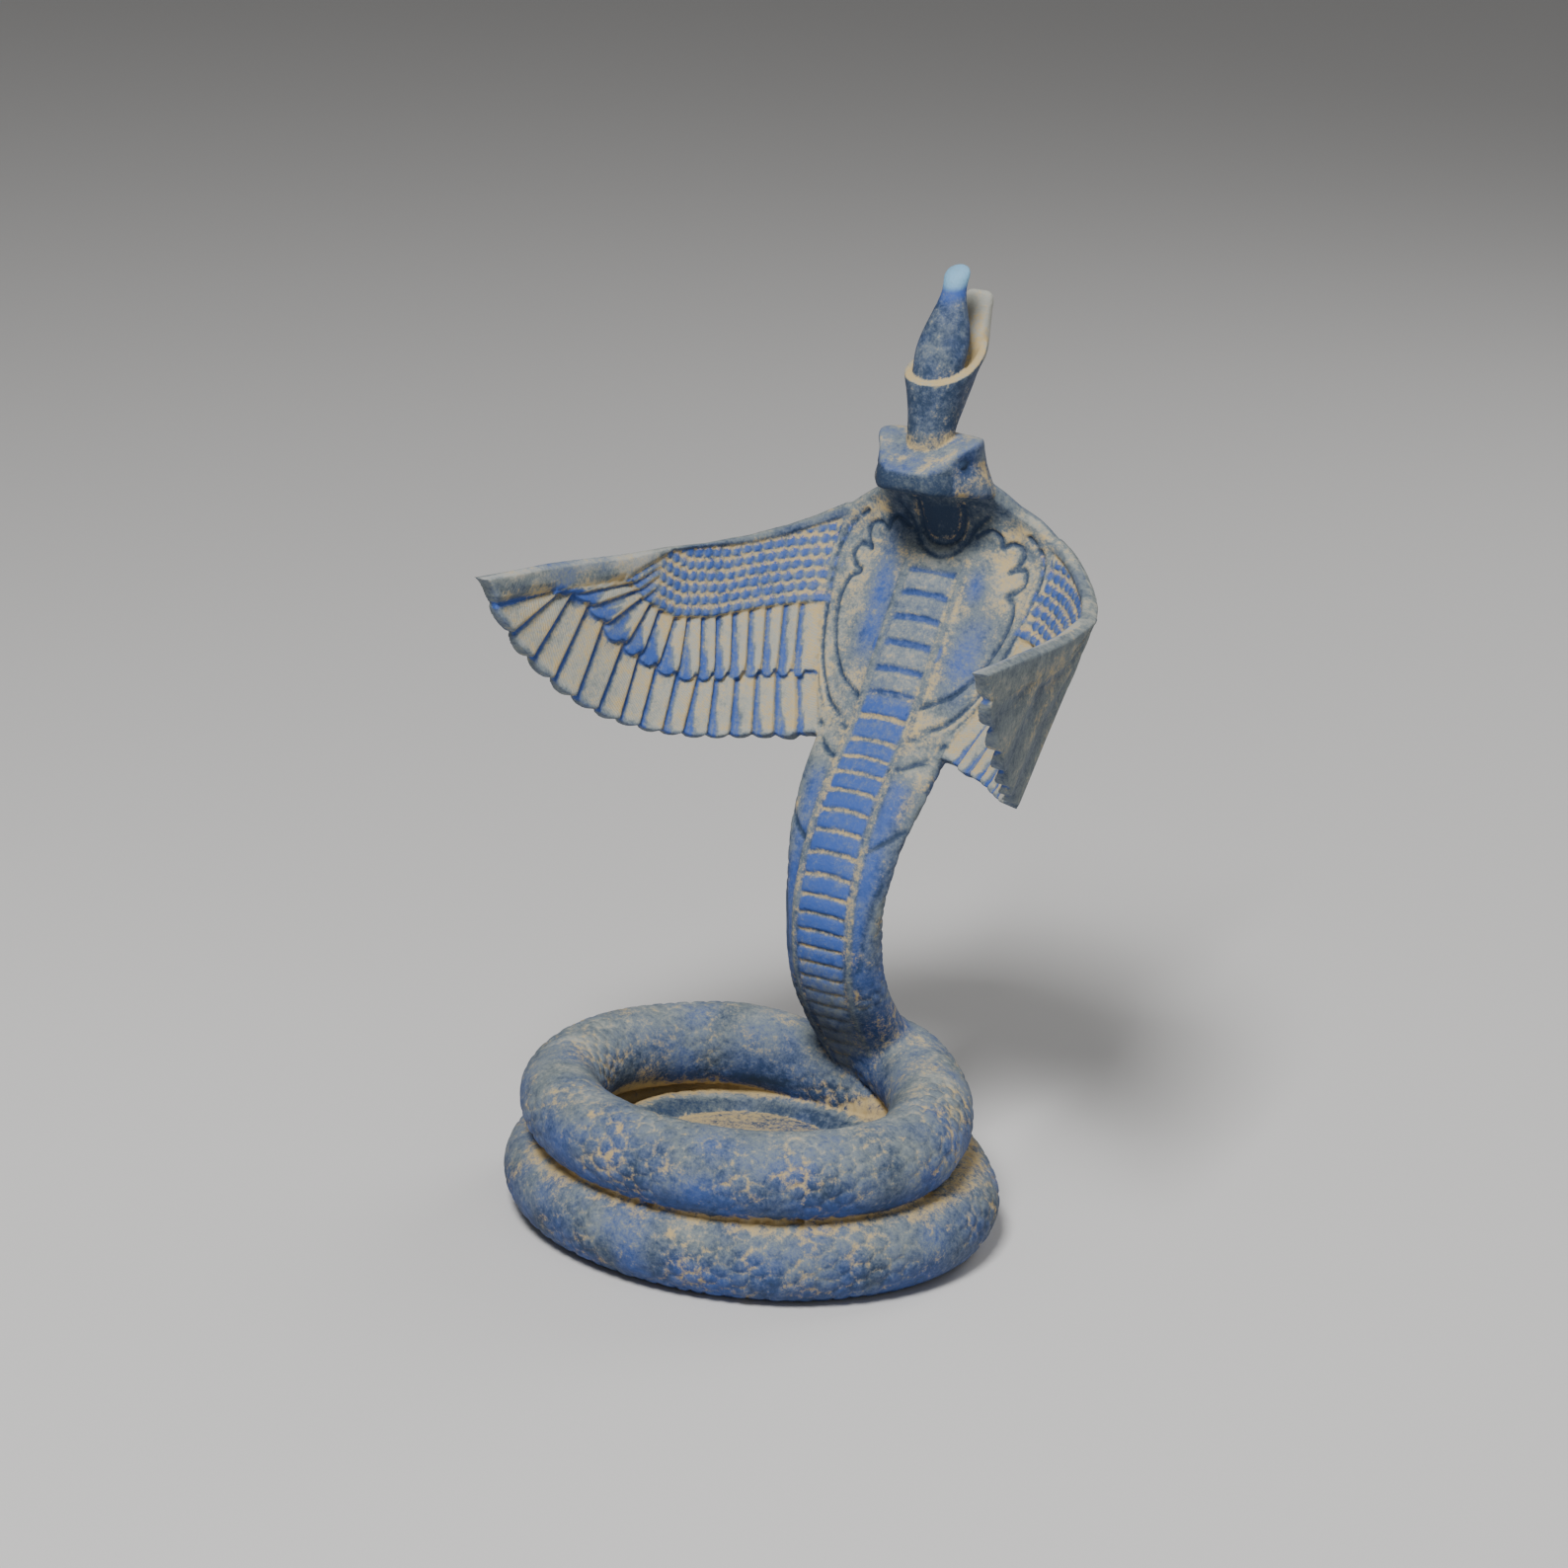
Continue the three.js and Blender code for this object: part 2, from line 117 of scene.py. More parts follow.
def lattice(points, seed):
    # soft random field over points in space, about -1 to 1, repeated after some cells
    size = 32
    rng = np.random.default_rng(seed)
    grid = rng.uniform(-1, 1, (size, size, size))
    cell = np.floor(points).astype(int)
    f = points - cell
    f = f * f * (3 - 2 * f)
    total = 0
    for dx in (0, 1):
        for dy in (0, 1):
            for dz in (0, 1):
                w = (np.abs(1 - dx - f[..., 0]) * np.abs(1 - dy - f[..., 1])
                     * np.abs(1 - dz - f[..., 2]))
                x, y, z = np.moveaxis((cell + (dx, dy, dz)) % size, -1, 0)
                total = total + w * grid[x, y, z]
    return total


def clearSelection():
    bpy.ops.object.select_all(action="DESELECT")


castParts = []  # blocked-out forms of the one casting
castPaint = []  # their points with the paint values below
paintNames = ("dust", "shade", "haze", "strandAcross", "strandDown", "strandPower")


def paintOf(dust, shade, haze, across=0, down=0, power=0):
    values = np.broadcast_arrays(np.clip(dust, 0, 1), shade, haze, across, down, power)
    return np.stack(values, -1).astype(float)


def keepPaint(points, paint, kept=None):
    points, paint = points.reshape(-1, 3), paint.reshape(-1, len(paintNames))
    if kept is not None:  # points buried in another form give no paint
        points, paint = points[kept.reshape(-1)], paint[kept.reshape(-1)]
    castPaint.append((points, paint))


def wrapGrid(name, points, paint, kept=None):
    # a grid primitive laid out as rows of closed loops, its seam merged and its ends filled
    rows, columns = points.shape[:2]
    clearSelection()
    bpy.ops.mesh.primitive_grid_add(x_subdivisions=columns, y_subdivisions=rows - 1, size=1)
    part = bpy.context.object
    part.name = name
    closed = np.concatenate([points, points[:, :1]], 1)
    part.data.vertices.foreach_set("co", (closed * mm).reshape(-1))
    bpy.ops.object.mode_set(mode="EDIT")
    bpy.ops.mesh.select_all(action="SELECT")
    bpy.ops.mesh.remove_doubles(threshold=1e-6)
    bpy.ops.mesh.select_all(action="DESELECT")
    bpy.ops.mesh.select_mode(type="EDGE")
    bpy.ops.mesh.select_non_manifold(extend=False)
    bpy.ops.mesh.edge_face_add()
    bpy.ops.mesh.select_all(action="SELECT")
    bpy.ops.mesh.normals_make_consistent(inside=False)
    bpy.ops.object.mode_set(mode="OBJECT")
    castParts.append(part)
    keepPaint(points, paint, kept)


def wrapSheet(name, front, back, frontPaint, backPaint, kept=None):
    # the same for a sheet, out of its two faces
    wrapGrid(name, np.concatenate([front, back[:, ::-1]], 1),
             np.concatenate([frontPaint, backPaint[:, ::-1]], 1), kept)


# the sheet that hood and wings are shaped on
sheetSettings = {
    "plan": [(0, 68), (12, 69.6), (24, 71.7), (33, 70.3), (41, 65.2), (48.4, 57), (54.5, 46.5),
             (59.3, 34.5), (63, 13), (66.2, -10), (69.3, -44)],
    "leanHeight": 165, "hoodLean": 0.69, "wingLean": (0.717, 0.66), "inward": 0.12,
    "archHeight": 163, "archRate": 0.04,
}
planLine = Curve([(x, y, 0) for x, y in sheetSettings["plan"]])


def sheetPoint(s, z, offset):
    own = sheetSettings
    s, z, offset = np.broadcast_arrays(np.asarray(s, float), z, offset)
    out = np.abs(s)
    plan = planLine.atLength(out)
    along = planLine.alongLength(np.clip(out, 0.5, planLine.length - 0.5))
    over = np.maximum(z - own["archHeight"], 0)
    root = smooth(out, 15, 35)
    reach = smooth(out, 35, planLine.length)
    lean = mix(mix(own["hoodLean"], own["wingLean"][0], root), own["wingLean"][1], reach)
    inward = own["inward"] * root * (1 - reach)
    x = plan[..., 0] - inward * (own["leanHeight"] - z)
    y = plan[..., 1] + lean * (z - own["leanHeight"]) - own["archRate"] * over ** 2
    slope = lean - 2 * own["archRate"] * over
    normal = unit(np.stack([along[..., 1], -along[..., 0],
                            slope * along[..., 0] - inward * along[..., 1]], -1))
    p = np.stack([x, y, z], -1) + normal * offset[..., None]
    p[..., 0] = np.where(s < 0, -p[..., 0], p[..., 0]) + midPlane
    return p


# coil and tail
coilSettings = {
    "lower": (56.1, 46.3, 0, 0), "upper": (49.9, 41.2, 0.5, -3.7), "upperHeight": 31.6,
    "lowerTube": 10.8, "upperTube": 11, "dropStart": 325, "dropEnd": 425,
    "tailStart": 620, "tailLaid": 735, "tailRound": 800, "tailMeet": 960, "tailTip": 1065,
    "tailInset": 13.8, "tailTuck": 5, "tailTipShare": 0.94,
    "scaleWidth": 4.2, "scaleDepth": 0.62, "pitch": 0.6, "wobble": 0.4,
    "innerRing": (34.5, 27.5), "creaseHeight": 21.2, "meanReach": 50, "sunk": 0.15,
    "riser": [(12, 26, 60), (13.5, 32.5, 47), (17, 37.5, 38.5), (26, 37, 33.8), (37, 27, 32.3),
              (46, 12, 31.8)],
    "riserEnd": 90, "riserRows": 110, "riserGirth": 0.62,
    # name, first and last angle round the coil, with some overlap
    "stretches": [("upperCoil", 88, 335), ("coilDrop", 330, 434), ("lowerCoil", 430, 740),
                  ("tail", 736, 1065)],
}


def coilRadius(turn):
    own = coilSettings
    body = mix(own["upperTube"], own["lowerTube"], smooth(turn, own["dropStart"], own["dropEnd"]))
    past = np.maximum((turn - own["tailLaid"]) / (own["tailTip"] - own["tailLaid"]), 0)
    return body * mix(1, own["tailTipShare"], past ** 1.4)


def coilCentre(turn):
    own = coilSettings
    drop = smooth(turn, own["dropStart"], own["dropEnd"])
    inset = own["tailInset"] * smooth(turn, own["tailStart"], own["tailLaid"]) + own["tailTuck"] * (
        smooth(turn, own["tailLaid"], own["tailRound"]) - smooth(turn, own["tailMeet"], own["tailTip"]))
    a, b, x, y = (mix(u, low, drop) for u, low in zip(own["upper"], own["lower"]))
    angle = np.radians(turn)
    x = x + (a - inset * 1.15) * np.sin(angle)
    y = y + (b - inset) * np.cos(angle)
    return np.stack([x, y, mix(own["upperHeight"], coilRadius(turn) - own["sunk"], drop)], -1)


def scaleCells(u, v, around, seed):
    # staggered many-sided cells: how far inside its cell each point is, 0 on the seams
    size, rowGap, most = 96, 0.87, 0.26
    rng = np.random.default_rng(seed)
    shift = rng.uniform(-most, most, (2, size, size))
    row = np.floor(v / rowGap).astype(int)
    column = np.floor(u).astype(int)
    first = np.full(u.shape, 9.0)
    second = np.full(u.shape, 9.0)
    for dr in (-1, 0, 1):
        for dc in (-1, 0, 1, 2):
            r, c = row + dr, column + dc
            i, j = (c % around) % size, r % size
            cu = c + 0.5 * (r % 2) + shift[0][i, j]
            cv = (r + 0.5) * rowGap + shift[1][i, j]
            d = np.hypot(u - cu, v - cv)
            second = np.minimum(second, np.maximum(d, first))
            first = np.minimum(first, d)
    return second - first


def scalySkin(theta, run, rough):
    # height and grooves of worn scales on a round body
    own = coilSettings
    around = 2 * round(math.pi * own["lowerTube"] / own["scaleWidth"])
    inside = scaleCells(theta / (2 * math.pi) * around, run / own["scaleWidth"], around, 3)
    worn = np.clip(0.55 + 0.95 * lattice(rough / 13, 5), 0.12, 1)
    height = own["scaleDepth"] * (smooth(inside, 0, 0.4) - 1) * worn
    height = height + own["wobble"] * (0.5 * lattice(rough / 17, 6) + 0.3 * lattice(rough / 5, 7))
    return height, (1 - smooth(inside, 0, 0.2)) * worn


def skinPaint(rough, groove):
    # dust, shade and haze of the scaly skin
    dust = 0.3 + 0.3 * groove + 0.25 * lattice(rough / 5, 21)
    shade = 0.45 + 0.25 * lattice(rough / 8, 23)
    haze = 0.42 + 0.25 * lattice(rough / 6, 9) + 0.35 * groove
    return dust, shade, haze


def makeTube(name, line, radius, along):
    own = coilSettings
    run = np.r_[0, np.cumsum(np.linalg.norm(np.diff(line, axis=0), axis=1))]
    count = int(2 * math.pi * radius.max() / own["pitch"])
    theta = anglesRound(count)
    side = unit(np.cross(along, (0, 0, 1)))
    up = np.cross(side, along)
    ring = side[:, None] * np.cos(theta)[:, None] + up[:, None] * np.sin(theta)[:, None]
    rough = line[:, None] + ring * radius[:, None, None]
    height, groove = scalySkin(theta[None] + 0 * run[:, None], run[:, None] + 0 * theta, rough)
    points = line[:, None] + ring * (radius[:, None] + height)[..., None]
    points[..., 2] = np.maximum(points[..., 2], 0)
    # sand lies inside the ring on the ledge round the filled middle; its inner wall is bare blue, painted
    # darker as the shadow there
    a, b = own["innerRing"]
    place = np.hypot(rough[..., 0] / a, rough[..., 1] / b)
    low = between(rough[..., 2], 16, 18, 25, 28)
    ledge = between(place, 1.05, 1.2, 1.42, 1.52) * low
    shadowWall = (1 - smooth(place, 1.0, 1.07)) * low
    crease = bump(rough[..., 2], own["creaseHeight"], 1.7) * smooth(place, 1.45, 1.55)
    over = ring[..., 2]
    spots = smooth(lattice(rough / 3.4, 22), 0.6, 0.8) * smooth(over, -0.4, 0.3)
    dust, shade, haze = skinPaint(rough, groove)
    dust = dust + 0.06 * over + 0.5 * spots + 0.9 * ledge + 0.4 * crease
    dust, haze = dust * (1 - shadowWall), (haze + 0.25 * over) * (1 - 0.7 * shadowWall)
    wrapGrid(name, points, paintOf(dust, shade - 0.3 * shadowWall, haze))


def makeRiser():
    # the end of the upper ring, turned up into the neck
    own = coilSettings
    line = Curve(own["riser"] + [tuple(coilCentre(np.array(float(own["riserEnd"]))))])
    share = np.linspace(0, 1, own["riserRows"])
    radius = own["upperTube"] * mix(own["riserGirth"], 1, smooth(share, 0, 0.5))
    makeTube("neckFoot", line.at(share), radius, line.along(share))


def makeStretch(name, start, end):
    own = coilSettings
    turn = np.linspace(start, end, int(math.radians(end - start) * own["meanReach"] / own["pitch"]))
    along = unit(coilCentre(turn + 0.5) - coilCentre(turn - 0.5))
    makeTube(name, coilCentre(turn), coilRadius(turn), along)


makeRiser()
for stretch in coilSettings["stretches"]:
    makeStretch(*stretch)
print("coil blocked out")

# the filled middle of the coil
middleSettings = {
    "height": 17.5, "inset": 6, "sides": 96,
    "paintX": (-28, 28, 60), "paintY": (-24, 26, 60),  # where its sand lies: from, to, points
}


def makeMiddle():
    own = middleSettings
    clearSelection()
    bpy.ops.mesh.primitive_cylinder_add(vertices=own["sides"], radius=1, depth=own["height"] * mm,
                                        location=(0, 0, own["height"] / 2 * mm))
    middle = bpy.context.object
    middle.name = "coilMiddle"
    middle.scale = [(reach - own["inset"]) * mm for reach in coilSettings["lower"][:2]] + [1]
    bpy.ops.object.transform_apply(location=True, rotation=True, scale=True)
    castParts.append(middle)
    x, y = np.meshgrid(np.linspace(*own["paintX"]), np.linspace(*own["paintY"]))
    keepPaint(np.stack([x, y, 0 * x + own["height"]], -1), paintOf(0 * x + 1, 0.5, 0.8))


makeMiddle()
print("middle blocked out")

# neck and belly
neckSettings = {
    # forward surface y, height z, half width, half depth, fullness of the section, side shift
    "rows": [
        (35, 24, 12, 8.6, 2, 4), (32.1, 31.4, 13.4, 9.6, 2, 0.6), (24.7, 42.6, 13.9, 8.4, 2, 0),
        (17.6, 53.7, 13.5, 7.9, 2.1, 0), (13.2, 64.7, 13.1, 8.2, 2.2, 0), (12.2, 76, 13.4, 7.8, 2.2, 0),
        (14.2, 88, 14.3, 6.2, 2.2, 0), (20.4, 101.5, 16.3, 4.6, 2.2, 0), (28.9, 112.9, 18.2, 4.5, 2.2, 0),
        (37.4, 122.3, 19, 5, 2.2, 0), (50.1, 135.7, 17, 4.8, 2, 0), (60.4, 151, 15, 5, 2, 0),
        (69.2, 164.4, 13.8, 4.8, 2, 0), (70, 172.5, 13, 4.6, 2, 0), (67.6, 179, 12.6, 4.9, 2, 0),
        (64, 185.5, 12.2, 5.4, 2, 0), (61.5, 190.5, 10, 5, 2, 0),
    ],
    "scutes": 29, "scuteRise": 0.9, "gapDepth": 0.4, "bandLow": 5, "bandHigh": 7, "bandBottom": 27,
    "bandTop": 161, "pitch": 0.5, "sides": 170,
    # drawn lines beside the band, (outward, height)
    "sideLine": [(7.4, 97.4), (12.4, 101.2), (17.8, 106.6)],
    "fallLine": [(16.4, 99), (13.6, 89), (11.8, 79), (10.2, 66)],
    "hoodFrom": (113, 118), "buriedFrom": 126,  # the hood's carving, and where the hood covers it
}
neckRows = np.array(neckSettings["rows"])
bellyLine = Curve([(0, y, z) for y, z in neckRows[:, :2]])


def neckSize(share, column):
    return np.interp(share, np.linspace(0, 1, len(neckRows)), neckRows[:, column])


def bellyShare(height):
    return np.interp(height, bellyLine.points[:, 2], bellyLine.rows)


def bellyRelief(share, across):
    # rise of the belly band, its dust, haze and brightness, and where the band lies
    own = neckSettings
    start, end = bellyShare(own["bandBottom"]), bellyShare(own["bandTop"])
    place = (share - start) / (end - start)
    half = mix(own["bandLow"], own["bandHigh"], smooth(place, 0, 0.45))
    within = smooth(place, -0.01, 0.01) * smooth(1.005 - place, 0, 0.01)
    inside = smooth(half - np.abs(across), -0.1, 0.45) * within
    part = (place * own["scutes"] + 0.12 * (across / half) ** 2) % 1
    top = smooth(place, 0.8, 0.84)
    low = 1 - smooth(place, 0.2, 0.42)
    plate = smooth(part, 0.02, 0.1) * (1 - smooth(part, mix(0.76, 0.86, low), mix(0.88, 0.94, low)))
    rise = inside * (plate * mix(1, 0.6, part) * own["scuteRise"] * mix(1, 0.6, low) - own["gapDepth"])
    away = np.abs(across) - half
    strip = between(away, 0.35, 0.8, 1.9, 2.5)
    strip = strip * smooth(place, -0.02, 0.02) * smooth(1.03 - place, 0, 0.03)
    rise = rise + 0.35 * strip - 0.25 * bump(away, 3.1, 0.35) * low
    # the top plates are worn to sand with dark blue gaps painted as the shadow under each plate, the
    # middle ones blue with sandy gaps
    gap = mix(mix(0.62, 0.05, top), 0.42, low)
    face = mix(mix(0.35 * smooth(part, 0.45, 0.8) - 0.05, 0.5, top), 0.3, low)
    dust = inside * mix(gap, face, plate) + strip * mix(mix(0.6, 0.42, top), 0.3, low)
    haze = inside * mix(mix(0.8, 0.1, top), mix(mix(0.12, 0.85, top), 0.8, low), plate) + 0.75 * strip
    bright = inside * mix(0.3 * top, mix(1, 0.35, np.maximum(top, low)), plate)
    return rise, dust, haze, bright, np.clip(inside + strip, 0, 1)


def makeNeck():
    own = neckSettings
    count = int(bellyLine.length / own["pitch"])
    share = np.linspace(0, 1, count)
    theta = anglesRound(own["sides"], 0.5)
    along = bellyLine.along(share)
    forward = np.stack([0 * share, -along[:, 2], along[:, 1]], -1)
    wide, deep, power, shift = (neckSize(share, c) for c in (2, 3, 4, 5))
    c, s = np.cos(theta)[None], np.sin(theta)[None]
    across = squared(c, 2 / power[:, None]) * wide[:, None]
    out = squared(s, 2 / power[:, None]) * deep[:, None]
    rise, bandDust, bandHaze, bright, cover = bellyRelief(share[:, None], across)
    front = smooth(s + 0 * rise, 0.05, 0.35)
    centre = bellyLine.at(share) - forward * deep[:, None]
    centre[:, 0] = midPlane + shift
    ray = np.stack([across, 0 * across, 0 * across], -1) + forward[:, None] * out[..., None]
    base = centre[:, None] + ray
    height = bellyLine.at(share)[:, None, 2] + 0 * across
    sideCut, fallCut = (bump(lineDistance(np.abs(across), height, own[name]), 0, 0.6) * (1 - cover)
                        for name in ("sideLine", "fallLine"))
    sideCut = np.maximum(sideCut, 0.6 * fallCut)
    foot = (1 - smooth(height, 56, 84)) * (1 - cover * front)
    run = share[:, None] * bellyLine.length + 0 * across
    skin, groove = scalySkin(theta[None] + 0 * across, run, base)
    skin = skin * (1 - cover * front) * mix(0.4, 1, np.maximum(1 - front, foot))
    # blue fields beside the band, dust along the rounded edges
    field = bump(np.abs(across) / wide[:, None], mix(0.74, 0.66, smooth(height, 80, 110)), 0.17) * front
    soft = lattice(base / 5, 11)
    side = mix(0.5 + 0.35 * soft, 0.1 + 0.2 * soft, field)
    side = mix(0.3 + 0.35 * groove + 0.35 * lattice(base / 5, 12), side, front)
    dust = mix(side, bandDust, cover * front) * (1 - sideCut * front)
    shade = mix(0.35 + 0.4 * field, 0.35 + 0.65 * bright, cover * front)
    haze = mix(0.62 + 0.3 * lattice(base / 6, 10) - 0.35 * field, bandHaze, cover * front)
    haze = haze * (1 - sideCut * front)
    shade = mix(shade, 0.05, sideCut * front)
    # the foot has the ring's skin, and higher up the front carries the hood's own carving
    joined = smooth(height, *own["hoodFrom"]) * front
    hoodLift, *hoodPaint = hoodRelief(across, height)
    lift = mix(rise - 0.8 * sideCut, hoodLift, joined) * front
    layers = zip((dust, shade, haze), skinPaint(base, groove), hoodPaint)
    dust, shade, haze = (mix(mix(plain, low, foot), high, joined) for plain, low, high in layers)
    points = base + forward[:, None] * lift[..., None] + unit(ray) * (skin * (1 - joined))[..., None]
    kept = (height < own["buriedFrom"]) | (s < -0.1)
    wrapGrid("neck", points, paintOf(dust, shade, haze), kept)


# hood
hoodSettings = {
    "edge": [(104, 15.4), (109, 17.2), (115, 18.6), (121, 20.4), (129, 26), (137.5, 29.2),
             (149, 32.2), (160, 34), (167, 34.2), (171.5, 31.5), (175, 26.5), (178, 21.8),
             (183, 17), (187, 13)],
    "thick": 3.8, "proud": 0.6, "pitch": 0.42, "columns": 170, "groove": 0.85, "grooveHalf": 0.55,
    "shownFrom": 124, "neckHalf": 15,  # the neck covers the hood below and inside these
    # drawn lines, (outward, height) on the sheet
    "outerLine": [(8.6, 123.2), (16.7, 126.6), (21, 129.6), (24.6, 133.4), (27.6, 138.5),
                  (29.4, 145), (30.6, 153), (30.8, 161), (28.5, 167.5), (24, 172)],
    "lobedLine": [(8.3, 129.6), (15.9, 133.1), (20.6, 137), (23.4, 140.4), (25.9, 146), (26.6, 151),
                  (25.2, 155.4), (22.3, 157.2), (24.6, 158.3), (26.2, 160.6), (24.9, 163.4),
                  (22.2, 163.2), (21, 162.6), (23.2, 165.4), (22.6, 168.6), (19.6, 169.6), (17.2, 168.2),
                  (16.4, 171), (13.6, 172.6), (9.8, 170.4)],
    "throatLines": [[(0, 164.2), (3.8, 165), (6.8, 167.8), (9.2, 172.2), (13.2, 176.5)],
                    [(0, 167.4), (3.2, 168.1), (5.4, 170.4), (6.4, 174.6), (6.8, 179)]],
    "lowLine": [(6.4, 116.4), (10.5, 117.7), (15.5, 120.4), (19.5, 122.6)],
}


def lineDistance(s, z, rows):
    # distance from points of the sheet to a smooth line drawn on it
    line = Curve([(a, b, 0) for a, b in rows], 90).points[:, :2]
    best = np.full(s.shape, 1e9)
    for a, b in zip(line[:-1], line[1:]):
        d = b - a
        t = np.clip(((s - a[0]) * d[0] + (z - a[1]) * d[1]) / (d @ d), 0, 1)
        best = np.minimum(best, (s - a[0] - t * d[0]) ** 2 + (z - a[1] - t * d[1]) ** 2)
    return np.sqrt(best)


def hoodRelief(s, z):
    # rise, dust, shade and haze of the carving on the hood's front
    own = hoodSettings
    out = np.abs(s)
    right = smooth(s, -1, 1)
    outer = lineDistance(out, z, own["outerLine"])
    lobed = lineDistance(out, z, own["lobedLine"])
    low = lineDistance(out, z, own["lowLine"])
    throat = [lineDistance(out, z, line) for line in own["throatLines"]]
    outwards, heights = np.array(own["outerLine"][:8]).T
    outside = smooth(out - np.interp(z, heights, outwards), 0.4, 1.2) * smooth(z, 124, 128)
    rise, bandDust, bandHaze, bright, cover = bellyRelief(bellyShare(z), s)
    cut = np.maximum.reduce([bump(d, 0, own["grooveHalf"]) for d in [outer, lobed, low] + throat])
    cut = np.maximum(cut, 0.75 * bump(outer, 2.4, 0.4) * outside) * (1 - cover)
    lip = np.maximum(bump(outer, 1.4, 0.7) * (1 - outside), 0.8 * bump(lobed, 1.2, 0.6)) * (1 - cover)
    # an almond-shaped mark beside the band on each side
    almond = np.clip(1 - np.hypot((out - 8.9 - 0.1 * (z - 142)) / 1.3, (z - 142.2) / 2.7), 0, 1)
    almond = smooth(almond, 0, 0.4) * (1 - cover)
    lift = rise - own["groove"] * cut + 0.32 * lip + 0.5 * almond
    spot = sheetPoint(s, z, 0)
    soft, fine = lattice(spot / 6, 8), lattice(spot / 2.2, 24)
    leftField = bump(out, 13 + 0.12 * (z - 150), 4.6) * bump(z, 151, 15)
    rightField = np.maximum(bump(out, 16.5, 5.5) * bump(z, 142, 7.5),
                            0.75 * bump(out, 13, 3) * bump(z, 158, 4))
    field = mix(leftField, rightField, right) * (1 - outside)
    beside = bump(out - 8.7, 0, 1.7) * between(z, 120, 126, 162, 168)
    strip = np.maximum(outside, mix(0.45, 1, right) * beside)
    # painted shadow of the head: under it the hood gets less sand and haze and a darker blue
    high = smooth(z, 164, 170) * (1 - smooth(out, 13, 20))
    pit = smooth(5.9 - out, 0, 0.8) * between(z, 168.2, 169.4, 177, 180)
    edgeLine = bump(throat[1], 1.1, 0.45) * smooth(z, 167, 169)
    dust = 0.46 + 0.22 * soft + 0.16 * fine - 0.5 * field + 0.3 * strip + 0.2 * lip - 0.35 * high
    haze = 0.92 + 0.25 * soft + 0.2 * strip - 0.7 * field - 0.4 * high
    shade = 0.35 + 0.5 * field - 0.15 * high
    hidden = np.maximum(cut, 0.9 * pit)
    dust = mix(dust, bandDust, cover) * (1 - hidden) * (1 - 0.8 * almond)
    haze = mix(haze, bandHaze, cover) * (1 - hidden) * (1 - 0.7 * almond)
    shade = mix(mix(shade, 0.35 + 0.65 * bright, cover), 0.05, hidden)
    dust = dust + 0.6 * edgeLine * (1 - cut)
    return lift, dust, shade + 0.4 * almond, haze


def makeHood():
    own = hoodSettings
    z = np.arange(own["edge"][0][0], own["edge"][-1][0], own["pitch"])
    half = table(own["edge"], z)
    s = np.linspace(-1, 1, own["columns"])[None] * half[:, None]
    z = z[:, None] + 0 * s
    edge = smooth(half[:, None] - np.abs(s), 0, 1.6)
    lift, dust, shade, haze = hoodRelief(s, z)
    lift = mix(-0.9, own["proud"] + lift + 0.1 * lattice(sheetPoint(s, z, 0) / 3, 8), edge)
    behind = sheetPoint(s, z, -4)
    back = sheetPoint(s, z, -own["thick"] + 1.4 * (1 - edge) + 0.25 * lattice(behind / 6, 9))
    backPaint = paintOf(0.32 + 0.3 * lattice(behind / 5, 13), 0.4, 0.6)
    shown = (z > own["shownFrom"]) | (np.abs(s) > own["neckHalf"])
    wrapSheet("hood", sheetPoint(s, z, lift), back, paintOf(dust, shade, haze), backPaint,
              np.concatenate([shown, np.ones_like(shown)], 1))


makeNeck()
makeHood()
print("neck and hood blocked out")

# wings
wingSettings = {
    "feathers": 17, "thick": 2.4, "rise": 1.0, "tierRise": 1.25, "scallop": 2.1, "rimRise": 0.9,
    "lobeHang": 1.5,
    "outerShift": [(0, 1.33), (0.8, 2), (2.05, 3), (3.3, 4), (4.55, 5), (5.85, 6), (7, 7), (17, 17)],
    "covertWide": 2.95, "covertHigh": 2.75, "covertRise": 0.85, "covertEnd": 80,
    "top": [(13, 187), (16.6, 183.6), (22, 177.9), (27, 174.6), (32.5, 172), (38.5, 169.4),
            (45.5, 167.2), (56, 165.2), (69, 164.4), (92, 165.2), (112, 167.2), (132.4, 169.2),
            (150, 170.6), (157, 170.2)],
    "lead": [(0, 30), (6, 42), (12, 60), (17, 80)],
    "covert": [(0, 33.5), (2, 41.6), (4, 50.4), (6, 59.4), (8, 68.2), (9, 72.1), (10, 78.3), (12, 86),
               (14, 92), (17, 98)],
    "middle": [(0, 30.5), (4, 47), (7, 59.9), (8, 66.4), (9, 73.5), (11, 87.5), (12, 98.2), (14, 115),
               (17, 128)],
    "outer": [(0, 23.5), (2, 35), (4, 44.2), (6, 53.8), (8, 66.5), (10, 81.5), (12, 101),
              (14, 123.5), (16, 148), (17, 155.5)],
    "covertHeight": [(33, 149), (61, 146.4), (73, 147.6), (79, 150.3), (85.8, 153.6), (93, 159)],
    "middleHeight": [(30, 132.6), (54, 132.2), (61, 132.4), (67.4, 133.6), (75.3, 136.8),
                     (84, 141.2), (94.3, 146.4), (102, 152.2), (111.7, 158.2), (119, 161)],
    "columns": 20, "rows": (60, 40, 42),
}


def wingNode(line, g):
    own = wingSettings
    s = table(own[line], g)
    edge = table(own["top"], s)
    if line == "lead":
        return s, edge
    if line == "outer":
        height = 118 + 51 * np.maximum((s - 48) / 108, 0) ** 1.72 + np.maximum(30 - s, 0) * 0.25
    else:
        height = table(own[line + "Height"], s)
    return s, mix(height, edge, np.maximum(g - own["feathers"] + 1, 0))


